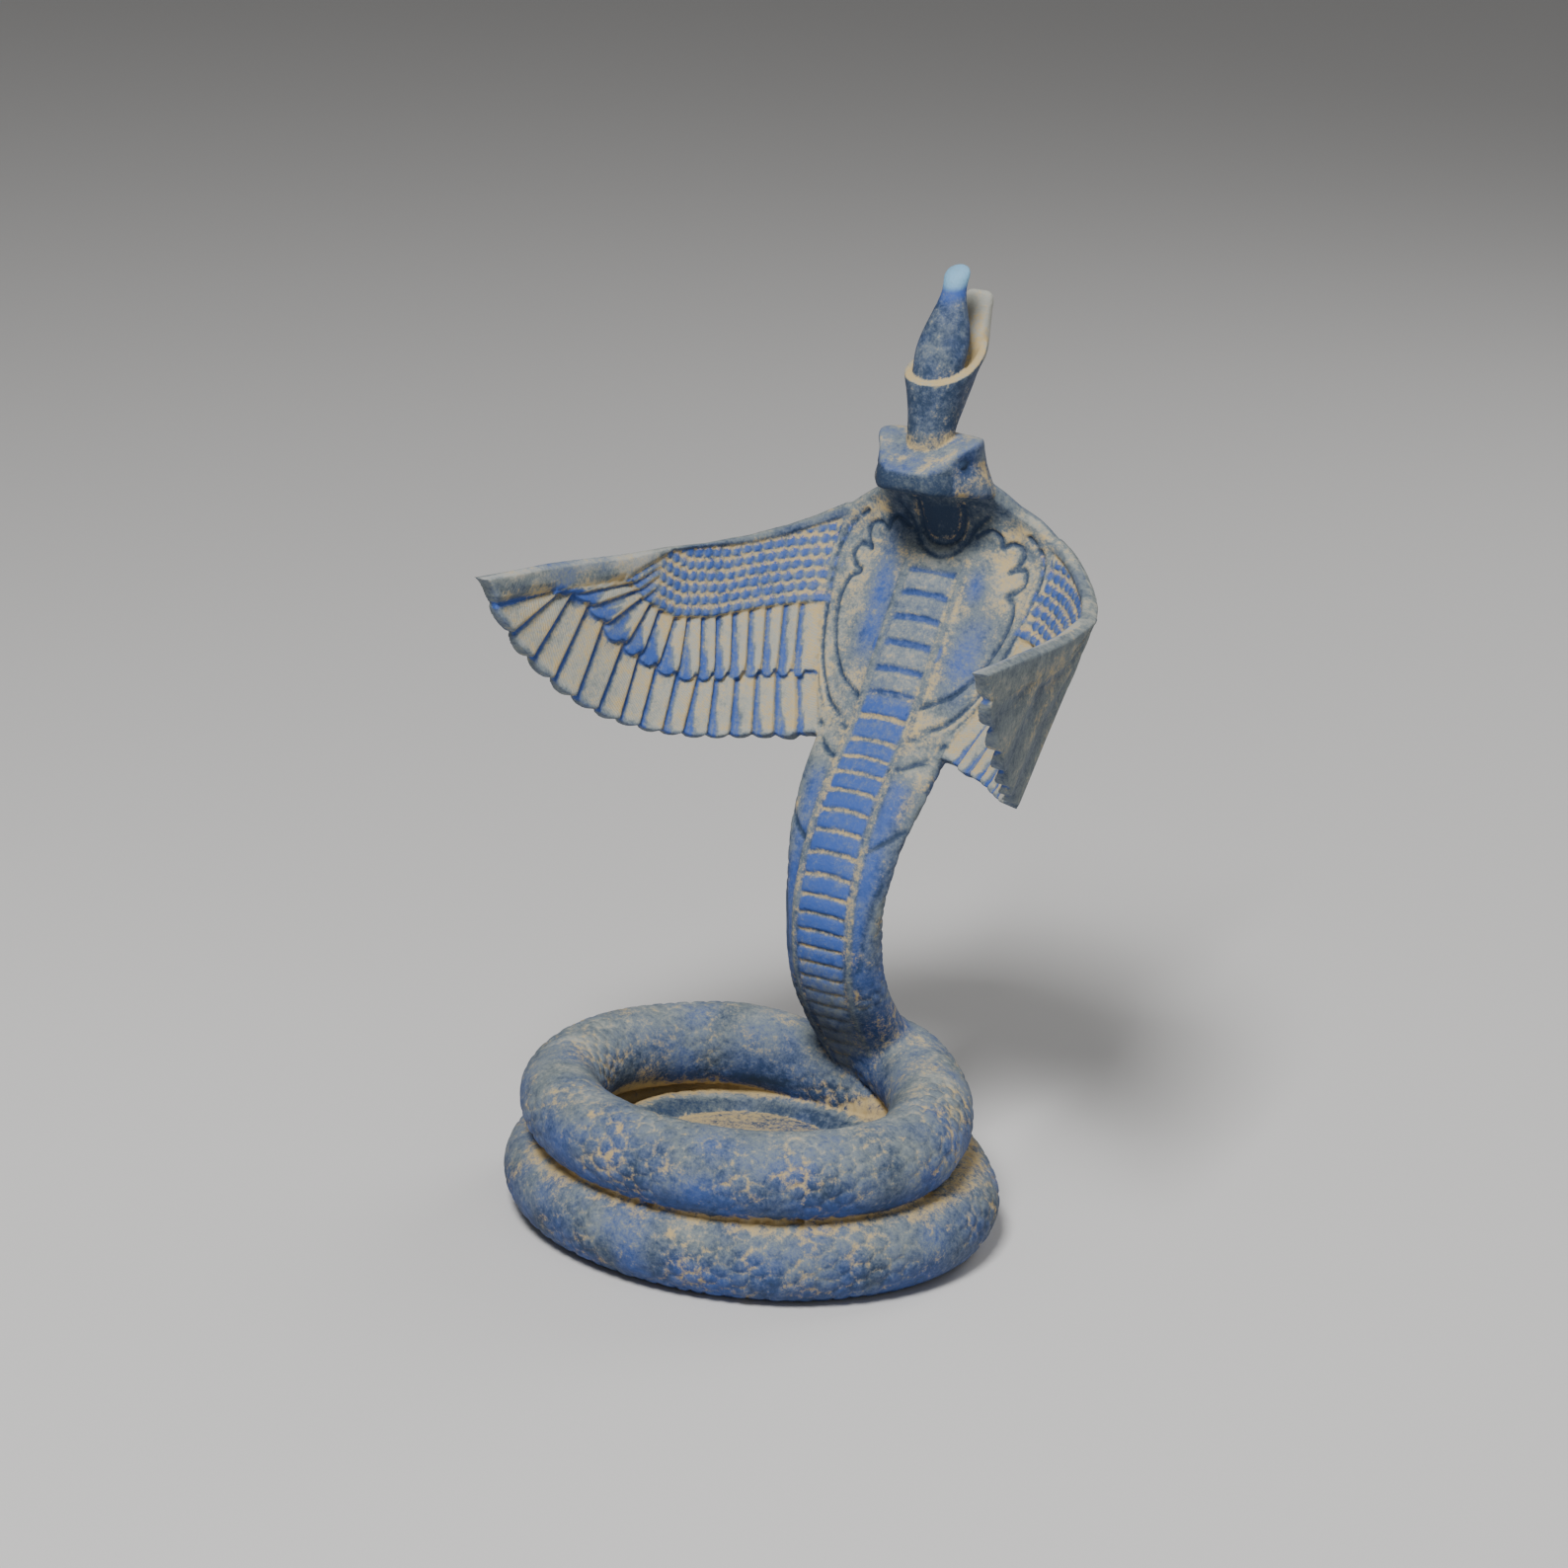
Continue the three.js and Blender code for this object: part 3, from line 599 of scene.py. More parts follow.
def makeWing(name, sign):
    own = wingSettings
    g = np.linspace(0, own["feathers"], own["feathers"] * own["columns"] + 1)
    lines = ["lead", "covert", "middle", "outer"]
    s, z, tier, down = [], [], [], []
    for i, count in enumerate(own["rows"]):
        a, b = wingNode(lines[i], g), wingNode(lines[i + 1], g)
        t = np.linspace(0, 1, count)
        part = np.clip((g % 1 - 0.3) / 0.7, 0, 1)
        hang = own["lobeHang"] * (arch(part) - 0.45)[:, None]
        length = np.hypot(a[0] - b[0], a[1] - b[1])[:, None]
        hang = hang * (0 * t, t ** 5, (1 - t) ** 5)[i] / np.maximum(length, 4)
        s.append(mix(a[0][:, None], b[0][:, None], t + hang))
        z.append(mix(a[1][:, None], b[1][:, None], t + hang))
        tier.append(np.full((len(g), count), i))
        down.append(t + 0 * s[-1])
    s, z, tier, down = (np.concatenate(x, 1) for x in (s, z, tier, down))
    gg = g[:, None] + 0 * s
    coverts, middles, outers = tier == 0, tier == 1, tier == 2
    outerCount = table(own["outerShift"], gg)  # near the root the outer feathers are fewer and wider
    part = np.where(outers, outerCount, gg) % 1
    feathered = tier > 0
    last = smooth(gg, own["feathers"] - 0.9, own["feathers"] - 0.6)
    fan = smooth(gg, 6.5, 11)
    # each feather is a shingle: a steep side, a light ridge, then a long slope to the next
    ridge = bump(part, 0.17, 0.1)
    shingle = between(part, 0, 0.16, 0.3, 1)
    # rounded ends of the outer feathers
    ends = own["scallop"] * (1 - arch(part)) * outers * down ** 3
    ends = ends * (1 - last) / 22
    a = wingNode("middle", gg)
    s = mix(s, a[0], ends)
    z = mix(z, a[1], ends)
    # covert scales: staggered drops in rows counted up from the tier's lower edge
    above = z - table(own["covertHeight"], s)
    row = np.floor(above / own["covertHigh"])
    cx = (s / own["covertWide"] + 0.5 * (row % 2)) % 1 - 0.5
    cy = above / own["covertHigh"] - row
    reach = down * coverts
    belly = np.where(cy < 0.42, np.sqrt(np.clip(1 - ((cy - 0.42) / 0.42) ** 2, 0, 1)),
                     1 - (np.clip(cy - 0.42, 0, 1) / 0.58) ** 1.7)
    drop = np.clip(1 - (cx / (0.53 * np.maximum(belly, 0.05))) ** 2, 0, 1) * smooth(belly, 0.05, 0.3)
    fade = (1 - smooth(s, own["covertEnd"], own["covertEnd"] + 4 + 0.45 * above)) * coverts
    scale = np.sqrt(drop) * smooth(reach, 0.17, 0.2) * fade
    rim = between(reach, 0.0, 0.05, 0.13, 0.19) * coverts
    edge = (1 - smooth(reach, 0, 0.04)) * coverts
    covertBody = -0.55 + 0.5 * reach + own["covertRise"] * scale * mix(1, 0.6, cy)
    covertBody = covertBody + (1 - fade) * (shingle - 0.4) * own["rise"] * smooth(reach, 0.25, 0.4)
    middleBody = -own["tierRise"] + (own["tierRise"] + 0.3) * down ** 0.7
    body = np.where(coverts, covertBody, middleBody)
    body = np.where(outers, -own["tierRise"] * (1 - down) ** 1.5, body)
    # the middle feathers end in blue lobes that widen toward the wing's tip
    lobe = mix(0.26, mix(0.52, 0.92, fan), smooth(down, 0.35, 1) ** 1.4) * middles
    lobe = lobe + mix(mix(0.2, 0.34, smooth(down, 0.4, 1)), 0.13, fan) * outers
    blueSide = smooth(part, 1 - lobe - 0.05, 1 - lobe + 0.05)
    step = middles * smooth(down, 0.84, 0.99) * (np.abs(2 * part - 1.25) / 1.25) ** 2
    relief = np.where(feathered, (shingle - 0.45) * own["rise"] + 0.3 * ridge, 0)
    knob = outers * smooth(down, 0.86, 0.96) * 0.6 * (1 - (2 * part - 1) ** 2)
    line = bump(part, 0.86, 0.035) * feathered * smooth(down, 0, 0.2)
    front = body + relief - 0.9 * step + knob + 0.22 * line
    front = mix(front, own["rimRise"], np.maximum(rim, last))
    closing = np.maximum(edge, smooth(gg, own["feathers"] - 0.14, own["feathers"]))
    front = mix(front, -1.1, closing)
    wave = np.cos(2 * math.pi * (gg * 0.5 - 0.1)) * smooth(gg, 3, 7)
    back = mix(0.35 + 0.4 * wave, own["rimRise"], np.maximum(rim, last))
    back = mix(back, -1.1, closing)
    tuck = 4 * (1 - smooth(gg, 0, 0.3))
    frontPoints = sheetPoint(sign * (s - tuck), z, front)
    backPoints = sheetPoint(sign * (s - tuck), z, -own["thick"] - back)
    soft, fine = lattice(frontPoints / 7, 14), lattice(frontPoints / 2.4, 25)
    # blue stays in the troughs and lobes, sand and pale haze on the slopes and ridges
    blueSide = blueSide * (1 - 0.55 * line)
    tips = outers * smooth(down, 0.9, 0.98) * 0.3
    # painted shadow: the foot of each step between the tiers is kept bare blue
    foot = outers * (1 - smooth(down, 0.01, 0.06)) + middles * smooth(down, 0.97, 1)
    gutter = 1 - smooth(part, 0.02, 0.07)
    blue = np.clip(np.maximum.reduce([blueSide, tips, gutter, 0.8 * foot]), 0, 1) * feathered
    light = between(part, 0, 0.05, 0.2, 0.42)
    dust = 0.5 + 0.2 * soft + 0.15 * fine + 0.3 * light * feathered - 0.75 * blue
    haze = 1.2 + 0.2 * soft + 0.15 * light - 1.1 * blue
    shade = 0.3 + 0.65 * blue
    covertDust = mix(0.66 + 0.15 * soft, mix(0.0, 0.8, smooth(cy, 0.42, 0.75)), smooth(scale, 0.2, 0.6))
    block = smooth(part, 0.3, 0.4) * smooth(reach, 0.45, 0.6)
    covertDust = mix(mix(0.6, 0.15, block), covertDust, fade)
    dust = np.where(feathered, dust, covertDust)
    haze = np.where(feathered, haze, mix(mix(1.1, 0.3, block), 1.1 - 0.9 * scale, fade) + 0.15 * soft)
    shade = np.where(feathered, shade, mix(0.4 + 0.4 * block, 0.35 + 0.5 * scale, fade))
    patch = outers * bump(gg, 16.3, 0.45) * bump(down, 0.6, 0.2)
    plain = np.maximum.reduce([rim, edge, last]) * (1 - patch)
    dust = mix(dust, mix(0.36, 0.5, last) + 0.35 * soft + 0.2 * fine, plain) - 0.6 * patch
    haze = mix(haze, mix(0.7, 1.05, last) + 0.4 * soft, plain) - 0.8 * patch
    across, length = part * 5.5, down * 20
    frontPaint = paintOf(dust, shade, haze, across, length,
                         feathered * (1 - plain) * (1 - blue * 0.7))
    backDust = 0.36 + 0.12 * wave + 0.2 * soft + 0.12 * fine
    backPaint = paintOf(backDust, 0.3, 0.85 + 0.15 * wave, across, length, 0.4 * feathered)
    wrapSheet(name, frontPoints, backPoints, frontPaint, backPaint)


makeWing("rightWing", 1)
makeWing("leftWing", -1)
print("wings blocked out")

# head
headSettings = {
    # y, top, brow corner x z, side x z, low corner x z, underside
    "rows": [
        (47.5, 190.3, 4.2, 190, 4.8, 188.4, 4.2, 186.8, 186.6),
        (48.3, 191.1, 6.2, 190.9, 7, 188.5, 6.6, 185.8, 185.5),
        (50.4, 192.1, 8.4, 192.3, 9.2, 188.8, 9, 185.2, 184.8),
        (53.4, 193.5, 10.6, 194.2, 11, 189.4, 11, 184.8, 184.4),
        (56.8, 195.2, 12.7, 196.2, 12.5, 190.4, 13, 184.5, 184),
        (60.2, 197, 14.5, 197.8, 14.1, 191, 15.2, 184, 183.6),
        (64, 198, 13.9, 198, 14.3, 191, 16.4, 183.2, 183),
        (68, 197.8, 12, 197.2, 13, 191, 15.6, 182.8, 183),
        (71.4, 196.4, 9.4, 195.4, 10.8, 190.6, 12.5, 183, 183.4),
        (74, 193.6, 6, 192.4, 7.2, 189.8, 8, 185, 185),
        (75.2, 191, 2.6, 190.6, 3, 189.4, 3, 187.6, 187.4),
    ],
    "eye": (13.1, 57.7, 192.3), "eyeSize": 1.9, "socket": 1.3, "crease": 0.35,
    "sides": 120, "count": 80,
}


def makeHead():
    own = headSettings
    rows = np.array(own["rows"])
    line = Curve(rows[:, [0, 1, 8]])
    corners = [Curve(np.column_stack([rows[:, 0], rows[:, c], rows[:, c + 1]])) for c in (2, 4, 6)]
    t = np.linspace(0, 1, own["count"])
    y, top, under = line.at(t).T
    brow, side, low = (c.at(t) for c in corners)
    half = [(0 * y, top), (brow[:, 1] * 0.5, mix(top, brow[:, 2], 0.15)),
            (brow[:, 1] * 0.9, brow[:, 2] + 0.1), (brow[:, 1], brow[:, 2] - 0.7),
            side[:, 1:].T, low[:, 1:].T, (low[:, 1] * 0.5, under), (0 * y, under)]
    half = np.array([np.stack(corner, -1) for corner in half])  # corner, row, (x, z)
    loop = np.concatenate([half, half[-2:0:-1] * [-1, 1]])
    loop = np.concatenate([loop, loop[:1]])
    section = []
    for i in range(len(t)):
        ring = Curve(np.column_stack([loop[:, i], 0 * loop[:, i, 0]]), 400)
        section.append(ring.atLength(np.arange(own["sides"]) / own["sides"] * ring.length)[:, :2])
    section = np.array(section)
    x = section[..., 0]
    points = np.stack([x + midPlane, y[:, None] + 0 * x, section[..., 1]], -1)
    # sunk round each eye, with a crease in front of it
    eyes = [(sign, np.array([midPlane + sign * own["eye"][0], *own["eye"][1:]])) for sign in (1, -1)]
    for sign, eye in eyes:
        out, along, up = np.moveaxis(points - eye, -1, 0)
        away = np.sqrt(out ** 2 * 0.2 + (along + 0.3 * up) ** 2 * 0.55 + up ** 2 * 1.3)
        crease = bump(up + 2.9 + 0.15 * along, 0, 0.5) * smooth(-along, -2, 0) * (x * sign > 5)
        points[..., 0] -= sign * (own["socket"] * bump(away, 0, 2.1) + own["crease"] * crease)
    points = points + 0.12 * lattice(points / 2.5, 15)[..., None] * unit(points - [midPlane, 61, 190])
    topside = smooth(points[..., 2] - mix(190.5, 197, smooth(y, 48, 60))[:, None], -0.6, 0.4)
    cheek = (1 - topside) * smooth(points[..., 1], 52, 55)
    face = (1 - topside) * (1 - smooth(points[..., 1], 52, 54.5))
    soft = lattice(points / 4, 16)
    socket = np.maximum(*(bump(np.linalg.norm(points - eye, axis=-1), 0, 2.6) for _, eye in eyes))
    dust = topside * (0.4 + 0.4 * soft + 0.35 * bump(points[..., 1], 58.5, 3) * bump(x, 0, 8))
    dust = dust + cheek * (0.5 + 0.5 * soft) * (1 - smooth(points[..., 2], 192, 194)) * (1 - socket)
    lip = points[..., 2] - mix(189, 194, smooth(y, 48, 55))[:, None]
    dust = dust + face * 0.25 * smooth(lip, -1, 0.5)
    haze = topside * (0.7 + 0.3 * soft) + cheek * (0.6 + 0.3 * soft) * (1 - socket)
    haze = haze + face * (0.25 + 0.2 * soft)
    # painted light on the blue: the top lighter as lit from above, and the dark blue front face darker
    # still as its shade
    shade = 0.4 + 0.3 * topside - 0.3 * face
    wrapGrid("head", points, paintOf(dust, shade, haze))


def makeEye(sign):
    x, y, z = headSettings["eye"]
    radius = headSettings["eyeSize"]
    place = Vector((midPlane + sign * (x - radius), y, z)) * mm
    clearSelection()
    bpy.ops.mesh.primitive_uv_sphere_add(segments=24, ring_count=14, radius=radius * mm, location=place)
    eye = bpy.context.object
    eye.scale = (0.75, 1.05, 0.7)
    bpy.ops.object.transform_apply(location=True, rotation=True, scale=True)
    castParts.append(eye)
    ball = np.array([v.co[:] for v in eye.data.vertices]) / mm
    keepPaint(ball, paintOf(np.zeros(len(ball)), 0.1, 0))


makeHead()
for sign in (1, -1):
    makeEye(sign)
print("head blocked out")

# crown
crownSettings = {
    "cup": [  # front, back, half width, height, slope
        (55.4, 67.8, 6.2, 194.5, 0), (55.4, 68.4, 6.2, 199, 0), (55.9, 75, 6.8, 203.6, 0.15),
        (56, 80.6, 8, 208.4, 0.27), (56, 84, 9.1, 211.6, 0.33), (56.2, 84, 9, 212.3, 0.33),
        (58.3, 82.4, 7.2, 212.4, 0.33), (59.2, 81, 6.4, 211.6, 0.33),
    ],
    "back": [  # height, front y, back y, half width: rises behind the bulb into the pole
        (207, 68, 74, 2.6), (209, 68, 76.5, 3.2), (212, 69, 80, 4.2), (215, 71, 82.8, 5),
        (218, 74.5, 84.4, 4.9), (221, 78, 85.4, 4.3), (224, 81, 85.9, 3.9), (227, 82.4, 86, 3.9),
        (229.6, 82.8, 86, 4.1), (231.2, 83.2, 85.8, 3.6), (231.9, 83.8, 85.3, 2.4),
    ],
    # height and radius up the bulb, which leans back
    "bulb": [(208, 5), (213, 6.2), (216.5, 6.8), (220, 6.9), (223.5, 6.3), (227, 5.2), (230.5, 4),
             (233.2, 3.3), (235.5, 3.2), (237.6, 3.35), (239, 2.7), (239.7, 1.2)],
    "bulbY": 72, "bulbTop": 237, "bulbLean": 0.36,
    "cupGrid": (80, 120), "backGrid": (60, 72), "bulbGrid": (70, 90),  # rows and points round
}


def makeCup():
    rows = np.array(crownSettings["cup"])
    count, sides = crownSettings["cupGrid"]
    t = np.linspace(0, 1, count)
    front, back, half = Curve(rows[:, :3]).at(t).T
    height, slope = (np.interp(t, np.linspace(0, 1, len(rows)), c) for c in rows[:, 3:].T)
    theta = anglesRound(sides)
    c, s = np.cos(theta)[None], np.sin(theta)[None]
    middle = (front + half)[:, None]
    reach = np.where(s > 0, back[:, None] - middle, half[:, None])
    y = middle + reach * s
    x = half[:, None] * c * np.where(s > 0, 1 - 0.12 * s * s, 1)
    points = np.stack([x + midPlane, y, height[:, None] + slope[:, None] * (y - 57)], -1)
    soft = lattice(points / 3, 17)
    rim = smooth(t, 0.6, 0.66)[:, None] + 0 * x
    foot = 1 - smooth(points[..., 2] + 1.5 * soft, 197.5, 200.5)
    dust = 0.2 + 0.85 * rim + 0.5 * foot + 0.3 * soft
    haze = 0.35 + 0.9 * rim + 0.4 * foot + 0.2 * soft
    wrapGrid("crownCup", points, paintOf(dust, 0.25, haze))


def makeCrownBack():
    rows = np.array(crownSettings["back"])
    count, sides = crownSettings["backGrid"]
    t = np.linspace(0, 1, count)
    front, back, half = Curve(rows[:, 1:]).at(t).T
    z = np.interp(t, np.linspace(0, 1, len(rows)), rows[:, 0])
    theta = anglesRound(sides, 0.5)
    x = squared(np.cos(theta), 0.7) * half[:, None]
    y = ((front + back) / 2)[:, None] + squared(np.sin(theta), 0.7) * ((back - front) / 2)[:, None]
    points = np.stack([x + midPlane, y, z[:, None] + 0 * x], -1)
    # the pole is sandy, sandier round its front, and painted pale all over to stand for the light on its
    # face
    dust = mix(0.4, 0.6, np.sin(theta) < 0.3) + 0.3 * lattice(points / 4, 18)
    wrapGrid("crownBack", points, paintOf(dust, 0.4, 1.4))


def makeBulb():
    own = crownSettings
    count, sides = own["bulbGrid"]
    z, radius = Curve(own["bulb"]).at(np.linspace(0, 1, count)).T
    theta = anglesRound(sides)
    side = np.array([1.0, 0, 0])
    up = np.cross(unit(np.array([0, 0.3, -1.0])), side)
    ring = side * np.cos(theta)[:, None] + up * np.sin(theta)[:, None]
    centre = np.stack([0 * z + midPlane, own["bulbY"] + (z - own["bulbTop"]) * own["bulbLean"], z], -1)
    points = centre[:, None] + ring[None] * radius[:, None, None]
    knob = smooth(z, 230.5, 237.5)[:, None]
    soft = lattice(points / 3, 19)
    dust = (0.22 + 0.25 * soft + 0.2 * (1 - smooth(z, 212, 222))[:, None]) * (1 - knob)
    haze = (0.36 + 0.25 * soft) * (1 - knob)
    wrapGrid("crownBulb", points, paintOf(dust, mix(0.3, 1.6, knob), haze))


makeCup()
makeCrownBack()
makeBulb()
print("crown blocked out")

# the one casting, joined out of all the forms
castSettings = {
    "voxel": 0.4, "soften": 0.3, "softenTimes": 1, "triangles": 197000, "blendTimes": 260,
    "blends": [((25, 30, 45), 16)],  # place and reach of hand-smoothed folds
    "hollowDust": 2.6, "mostDust": 0.25, "leastDust": -0.2, "hazeUp": 0.2,
}


def applyModifier(piece, kind, **values):
    modifier = piece.modifiers.new(kind.lower(), kind)
    for name, value in values.items():
        setattr(modifier, name, value)
    bpy.ops.object.modifier_apply(modifier=modifier.name)


def castWhole():
    own = castSettings
    clearSelection()
    for part in castParts:
        part.select_set(True)
    bpy.context.view_layer.objects.active = castParts[0]
    bpy.ops.object.join()
    cast = bpy.context.object
    cast.name = "wingedCobraCasting"
    applyModifier(cast, "REMESH", mode="VOXEL", voxel_size=own["voxel"] * mm)
    applyModifier(cast, "SMOOTH", factor=own["soften"], iterations=own["softenTimes"])
    spots = meshArray(cast.data.vertices, "co", 3) / mm
    for i, (place, reach) in enumerate(own["blends"]):
        group = cast.vertex_groups.new(name="blend" + str(i))
        weight = 1 - smooth(np.linalg.norm(spots - place, axis=1), reach * 0.5, reach)
        for index in np.nonzero(weight > 0.02)[0]:
            group.add([int(index)], float(weight[index]), "REPLACE")
        applyModifier(cast, "SMOOTH", factor=0.5, iterations=own["blendTimes"], vertex_group=group.name)
    triangles = sum(len(p.vertices) - 2 for p in cast.data.polygons)
    print("cast has", triangles, "triangles before thinning")
    ratio = min(own["triangles"] / triangles, 1)
    applyModifier(cast, "DECIMATE", ratio=ratio, use_collapse_triangulate=True)
    return cast


def meshArray(what, name, size, kind=float):
    values = np.empty(len(what) * size, kind)
    what.foreach_get(name, values)
    return values.reshape(-1, size)


def aroundEach(edges, values):
    # sum of the values at the points joined to each point
    total = np.zeros_like(values)
    for a, b in (edges.T, edges.T[::-1]):
        np.add.at(total, a, values[b])
    return total


def paintCast(cast):
    # each point of the casting takes the mean of the nearest points of the forms
    mesh = cast.data
    allPoints = np.concatenate([p for p, _ in castPaint])
    allPaint = np.concatenate([v for _, v in castPaint])
    own = castSettings
    tree = kdtree.KDTree(len(allPoints))
    for i, p in enumerate(allPoints):
        tree.insert(p, i)
    tree.balance()
    spots = meshArray(mesh.vertices, "co", 3) / mm
    nearest = np.array([[(n, d) for _, n, d in tree.find_n(spot, 3)] for spot in spots])
    weights = 1 / (nearest[..., 1] ** 2 + 0.02)
    index = nearest[..., 0].astype(int)
    values = (allPaint[index] * weights[..., None]).sum(1) / weights.sum(1)[:, None]
    # the strand pattern keeps the nearest value, so that it doesn't smear between feathers
    values[:, 3:5] = allPaint[index[:, 0], 3:5]
    # hollows gather dust and ridges lose it
    edges = meshArray(mesh.edges, "vertices", 2, int)
    normal = meshArray(mesh.vertices, "normal", 3)
    count = aroundEach(edges, np.ones(len(spots)))
    hollow = ((aroundEach(edges, spots) / count[:, None] - spots) * normal).sum(1)
    for _ in range(2):
        hollow = (hollow + aroundEach(edges, hollow)) / (1 + count)
    blue = 1 - smooth(values[:, 1], 0.05, 0.3)
    values[:, 0] += np.clip(hollow * own["hollowDust"], own["leastDust"], own["mostDust"]) * (1 - blue)
    values[:, 2] += own["hazeUp"] * normal[:, 2]
    for column, name in enumerate(paintNames):
        layer = mesh.attributes.new(name, "FLOAT", "POINT")
        layer.data.foreach_set("value", np.ascontiguousarray(values[:, column]))


casting = castWhole()
print("cast")
paintCast(casting)
casting.data.polygons.foreach_set("use_smooth", np.ones(len(casting.data.polygons), bool))
casting.data.update()
print("painted")


# materials
stoneSettings = {
    "deepBlue": (0.014, 0.036, 0.09, 1), "brightBlue": (0.03, 0.085, 0.34, 1),
    "paleBlue": (0.2, 0.42, 0.62, 1), "sand": (0.5, 0.37, 0.17, 1), "haze": (0.2, 0.23, 0.215, 1),
    "paleHaze": (0.4, 0.4, 0.335, 1),
    "roughness": (0.6, 0.88), "specular": 0.3, "bumpStrength": 0.55, "bumpDistance": 0.0006,
    "clouds": 110, "mottle": 520, "stipple": 1500,
}


def addNode(tree, kind, inputs=None, **values):
    node = tree.nodes.new(kind)
    for name, value in values.items():
        setattr(node, name, value)
    for name, value in (inputs or {}).items():
        if hasattr(value, "node"):
            tree.links.new(value, node.inputs[name])
        else:
            node.inputs[name].default_value = value
    return node


def rampNode(tree, source, low, high, bottom=0.0, top=1.0):
    node = addNode(tree, "ShaderNodeMapRange", {"Value": source, "From Min": low, "From Max": high,
                                                "To Min": bottom, "To Max": top})
    node.interpolation_type = "SMOOTHSTEP"
    return node.outputs[0]


def mathNode(tree, how, a, b, c=None):
    inputs = {0: a, 1: b} if c is None else {0: a, 1: b, 2: c}
    return addNode(tree, "ShaderNodeMath", inputs, operation=how).outputs[0]


def mixColour(tree, amount, a, b):
    node = tree.nodes.new("ShaderNodeMix")
    node.data_type = "RGBA"
    for socket, value in ((node.inputs[0], amount), (node.inputs[6], a), (node.inputs[7], b)):
        if hasattr(value, "node"):
            tree.links.new(value, socket)
        else:
            socket.default_value = value
    return node.outputs[2]


def blueStone():
    own = stoneSettings
    material = bpy.data.materials.new("blueStone")
    material.use_nodes = True
    tree = material.node_tree
    shader = tree.nodes["Principled BSDF"]
    place = addNode(tree, "ShaderNodeTexCoord").outputs["Object"]
    paint = {name: addNode(tree, "ShaderNodeAttribute", attribute_name=name).outputs["Fac"]
             for name in paintNames}

    def noise(size, detail, rough):
        return addNode(tree, "ShaderNodeTexNoise", {"Vector": place, "Scale": float(size),
                                                    "Detail": detail, "Roughness": rough}).outputs["Fac"]

    clouds = noise(own["clouds"], 5.0, 0.6)
    mottle = noise(own["mottle"], 5.0, 0.65)
    stipple = noise(own["stipple"], 3.0, 0.7)

    def scaled(value, factor, added):
        return mathNode(tree, "MULTIPLY_ADD", value, factor, added)

    def stirred(source, big, middle, fine):
        value = scaled(clouds, big, -big / 2)
        value = scaled(mottle, middle, value)
        value = scaled(stipple, fine, value)
        return mathNode(tree, "ADD", source, mathNode(tree, "SUBTRACT", value, (middle + fine) / 2))

    # fine barbs slanting across the feathers
    slant = scaled(paint["strandAcross"], 1.1, paint["strandDown"])
    wave = mathNode(tree, "SINE", mathNode(tree, "MULTIPLY", slant, 7.5), 0.0)
    barbs = mathNode(tree, "MULTIPLY", wave, paint["strandPower"])

    shade = stirred(paint["shade"], 0.5, 0.8, 0.3)
    blue = mixColour(tree, rampNode(tree, shade, 0.1, 0.85), own["deepBlue"], own["brightBlue"])
    blue = mixColour(tree, rampNode(tree, paint["shade"], 1.0, 1.6), blue, own["paleBlue"])
    hazed = rampNode(tree, stirred(paint["haze"], 0.9, 1.5, 1.1), 0.05, 1.15, 0.05, 0.85)
    sandy = scaled(barbs, -0.1, paint["dust"])
    sandy = rampNode(tree, stirred(sandy, 0.7, 1.4, 1.2), 0.36, 1.0, 0.0, 0.9)
    pale = rampNode(tree, stirred(paint["haze"], 0.5, 0.6, 0.4), 0.85, 1.35)
    haze = mixColour(tree, pale, own["haze"], own["paleHaze"])
    colour = mixColour(tree, sandy, mixColour(tree, hazed, blue, haze), own["sand"])
    least, most = own["roughness"]
    rough = scaled(mathNode(tree, "MAXIMUM", sandy, hazed), most - least, least)
    shader.inputs["Specular IOR Level"].default_value = own["specular"]
    tree.links.new(rough, shader.inputs["Roughness"])
    tree.links.new(colour, shader.inputs["Base Color"])
    height = scaled(barbs, 0.14, scaled(stipple, 0.55, mathNode(tree, "MULTIPLY", mottle, 0.7)))
    bumps = addNode(tree, "ShaderNodeBump", {"Height": height, "Strength": own["bumpStrength"],
                                             "Distance": own["bumpDistance"]})
    tree.links.new(bumps.outputs["Normal"], shader.inputs["Normal"])
    return material


casting.data.materials.append(blueStone())
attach(casting, "root")
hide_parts("winged_cobra")
print("material set")

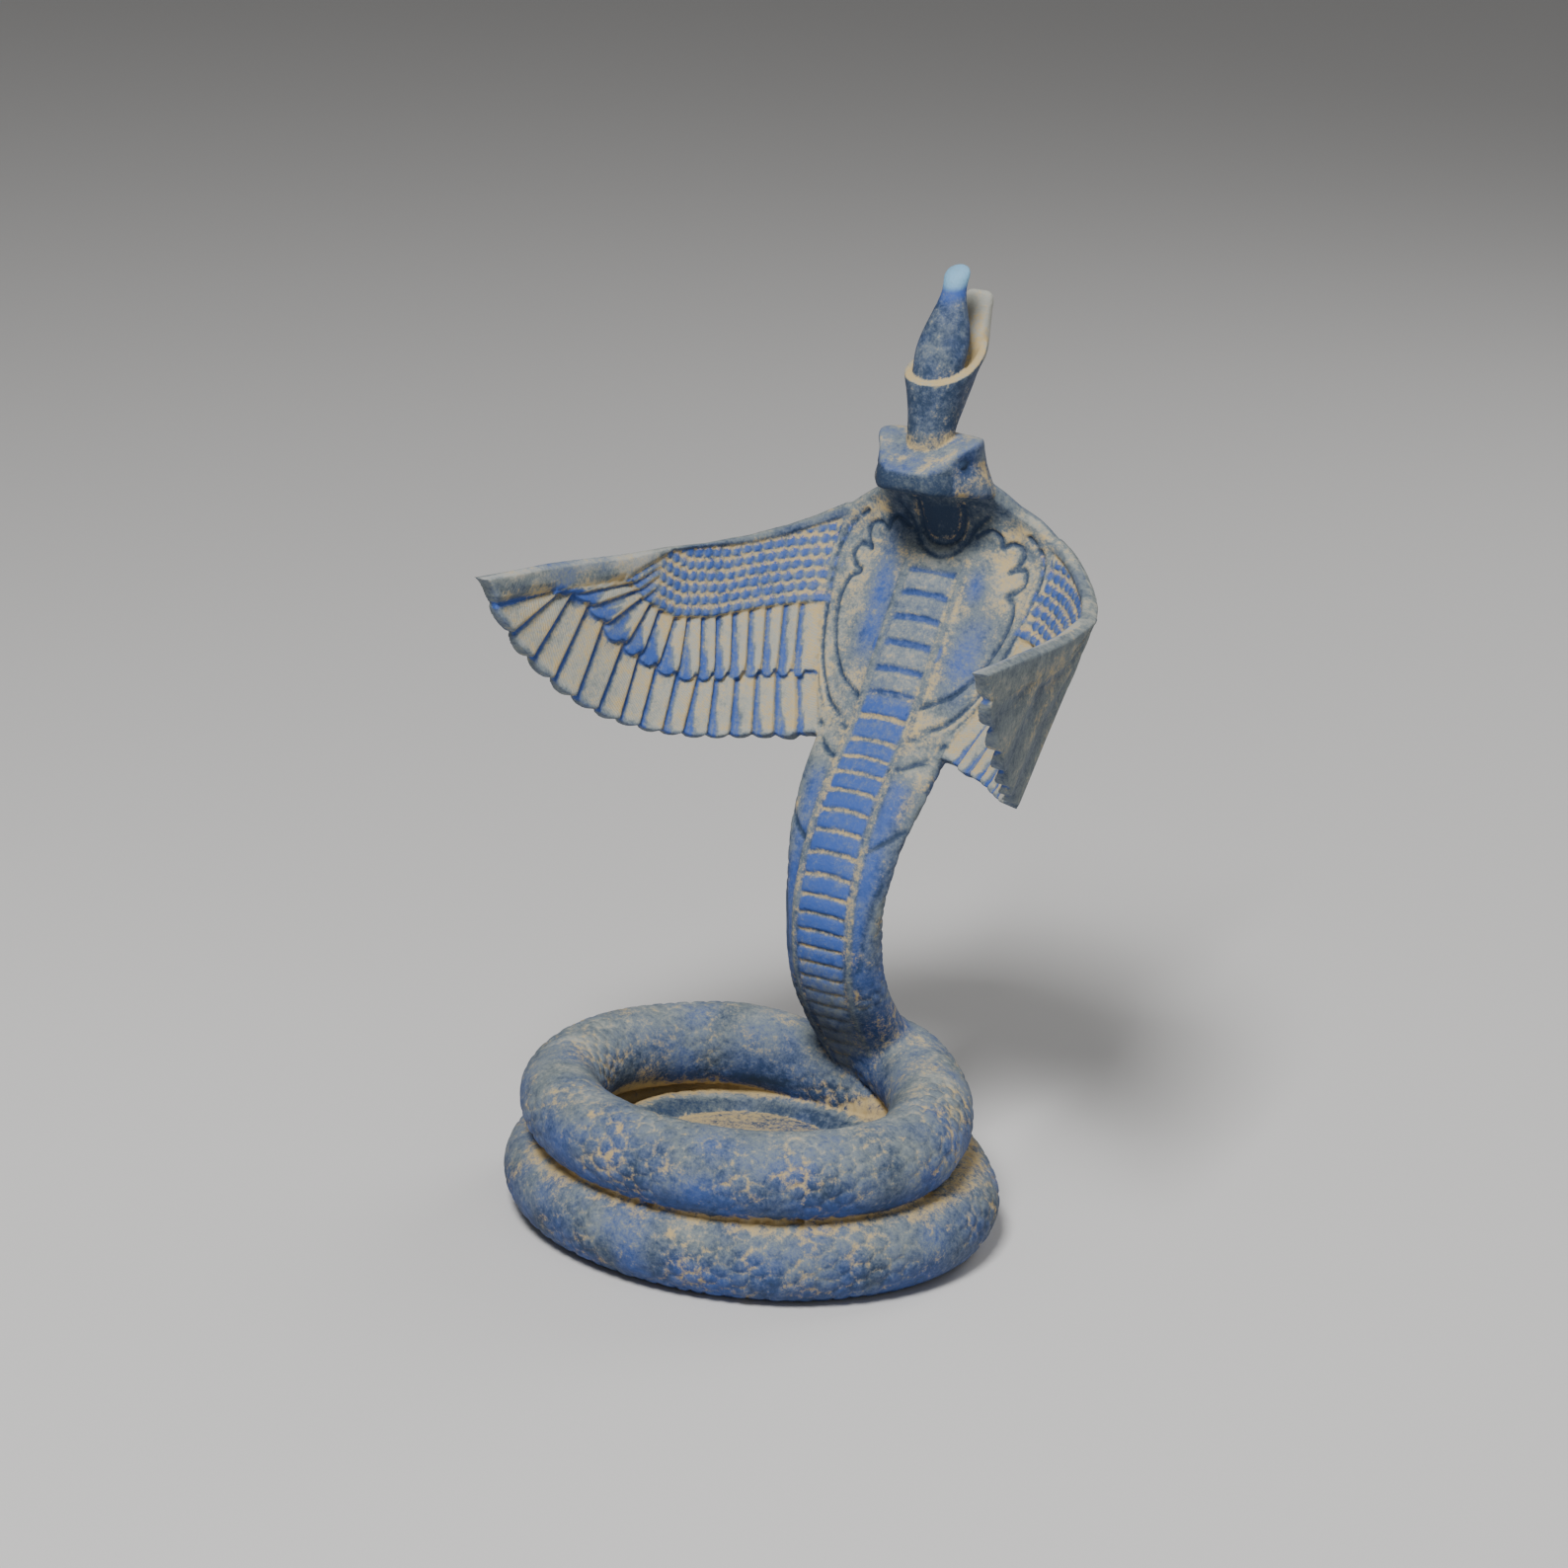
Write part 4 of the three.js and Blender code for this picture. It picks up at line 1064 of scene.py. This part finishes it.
# stage, light and camera
stageSettings = {
    "ground": (0.62, 0.61, 0.6, 1), "groundSize": 20, "world": 0.18,
    # name, place, power and size of each soft light, all turned to one point
    "lights": [("keyLight", (0.2, -0.85, 1.35), 30, 0.4), ("fillLight", (1.1, -0.6, 0.6), 1.5, 0.9),
               ("rimLight", (0.4, 1.0, 0.9), 5, 0.7)],
    "lightAim": (0, 0, 0.12),
    "cameraTurn": 31, "cameraRise": 18, "cameraRoll": 1.5, "cameraAway": 0.98, "lens": 90.7,
    "target": (0.0115, -0.0071, 0.1218),
}


def plainMaterial(name, colour):
    material = bpy.data.materials.new(name)
    material.use_nodes = True
    shader = material.node_tree.nodes["Principled BSDF"]
    shader.inputs["Base Color"].default_value = colour
    shader.inputs["Roughness"].default_value = 0.9
    return material


clearSelection()
bpy.ops.mesh.primitive_plane_add(size=stageSettings["groundSize"], location=(0, 0, 0))
ground = bpy.context.object
ground.name = "studioFloor"
ground.data.materials.append(plainMaterial("studioGround", stageSettings["ground"]))


def softLight(name, place, power, size):
    clearSelection()
    bpy.ops.object.light_add(type="AREA", location=place)
    lamp = bpy.context.object
    lamp.name = name
    lamp.data.energy = power
    lamp.data.size = size
    aim = Vector(stageSettings["lightAim"]) - Vector(place)
    lamp.rotation_euler = aim.to_track_quat("-Z", "Y").to_euler()


for light in stageSettings["lights"]:
    softLight(*light)
world = bpy.context.scene.world or bpy.data.worlds.new("studioWorld")
bpy.context.scene.world = world
world.use_nodes = True
world.node_tree.nodes["Background"].inputs[0].default_value = (1, 1, 1, 1)
world.node_tree.nodes["Background"].inputs[1].default_value = stageSettings["world"]

turn, rise, roll = (math.radians(stageSettings[n]) for n in ("cameraTurn", "cameraRise", "cameraRoll"))
back = Vector((math.sin(turn) * math.cos(rise), -math.cos(turn) * math.cos(rise), math.sin(rise)))
clearSelection()
bpy.ops.object.camera_add(location=Vector(stageSettings["target"]) + back * stageSettings["cameraAway"])
camera = bpy.context.object
facing = (-back).to_track_quat("-Z", "Y").to_matrix().to_4x4()
tilt = facing @ Matrix.Rotation(roll, 4, "Z")
camera.rotation_euler = tilt.to_euler()
camera.data.lens = stageSettings["lens"]
camera.data.sensor_width = 36
camera.data.clip_start = 0.01
bpy.context.scene.camera = camera
print("stage set")
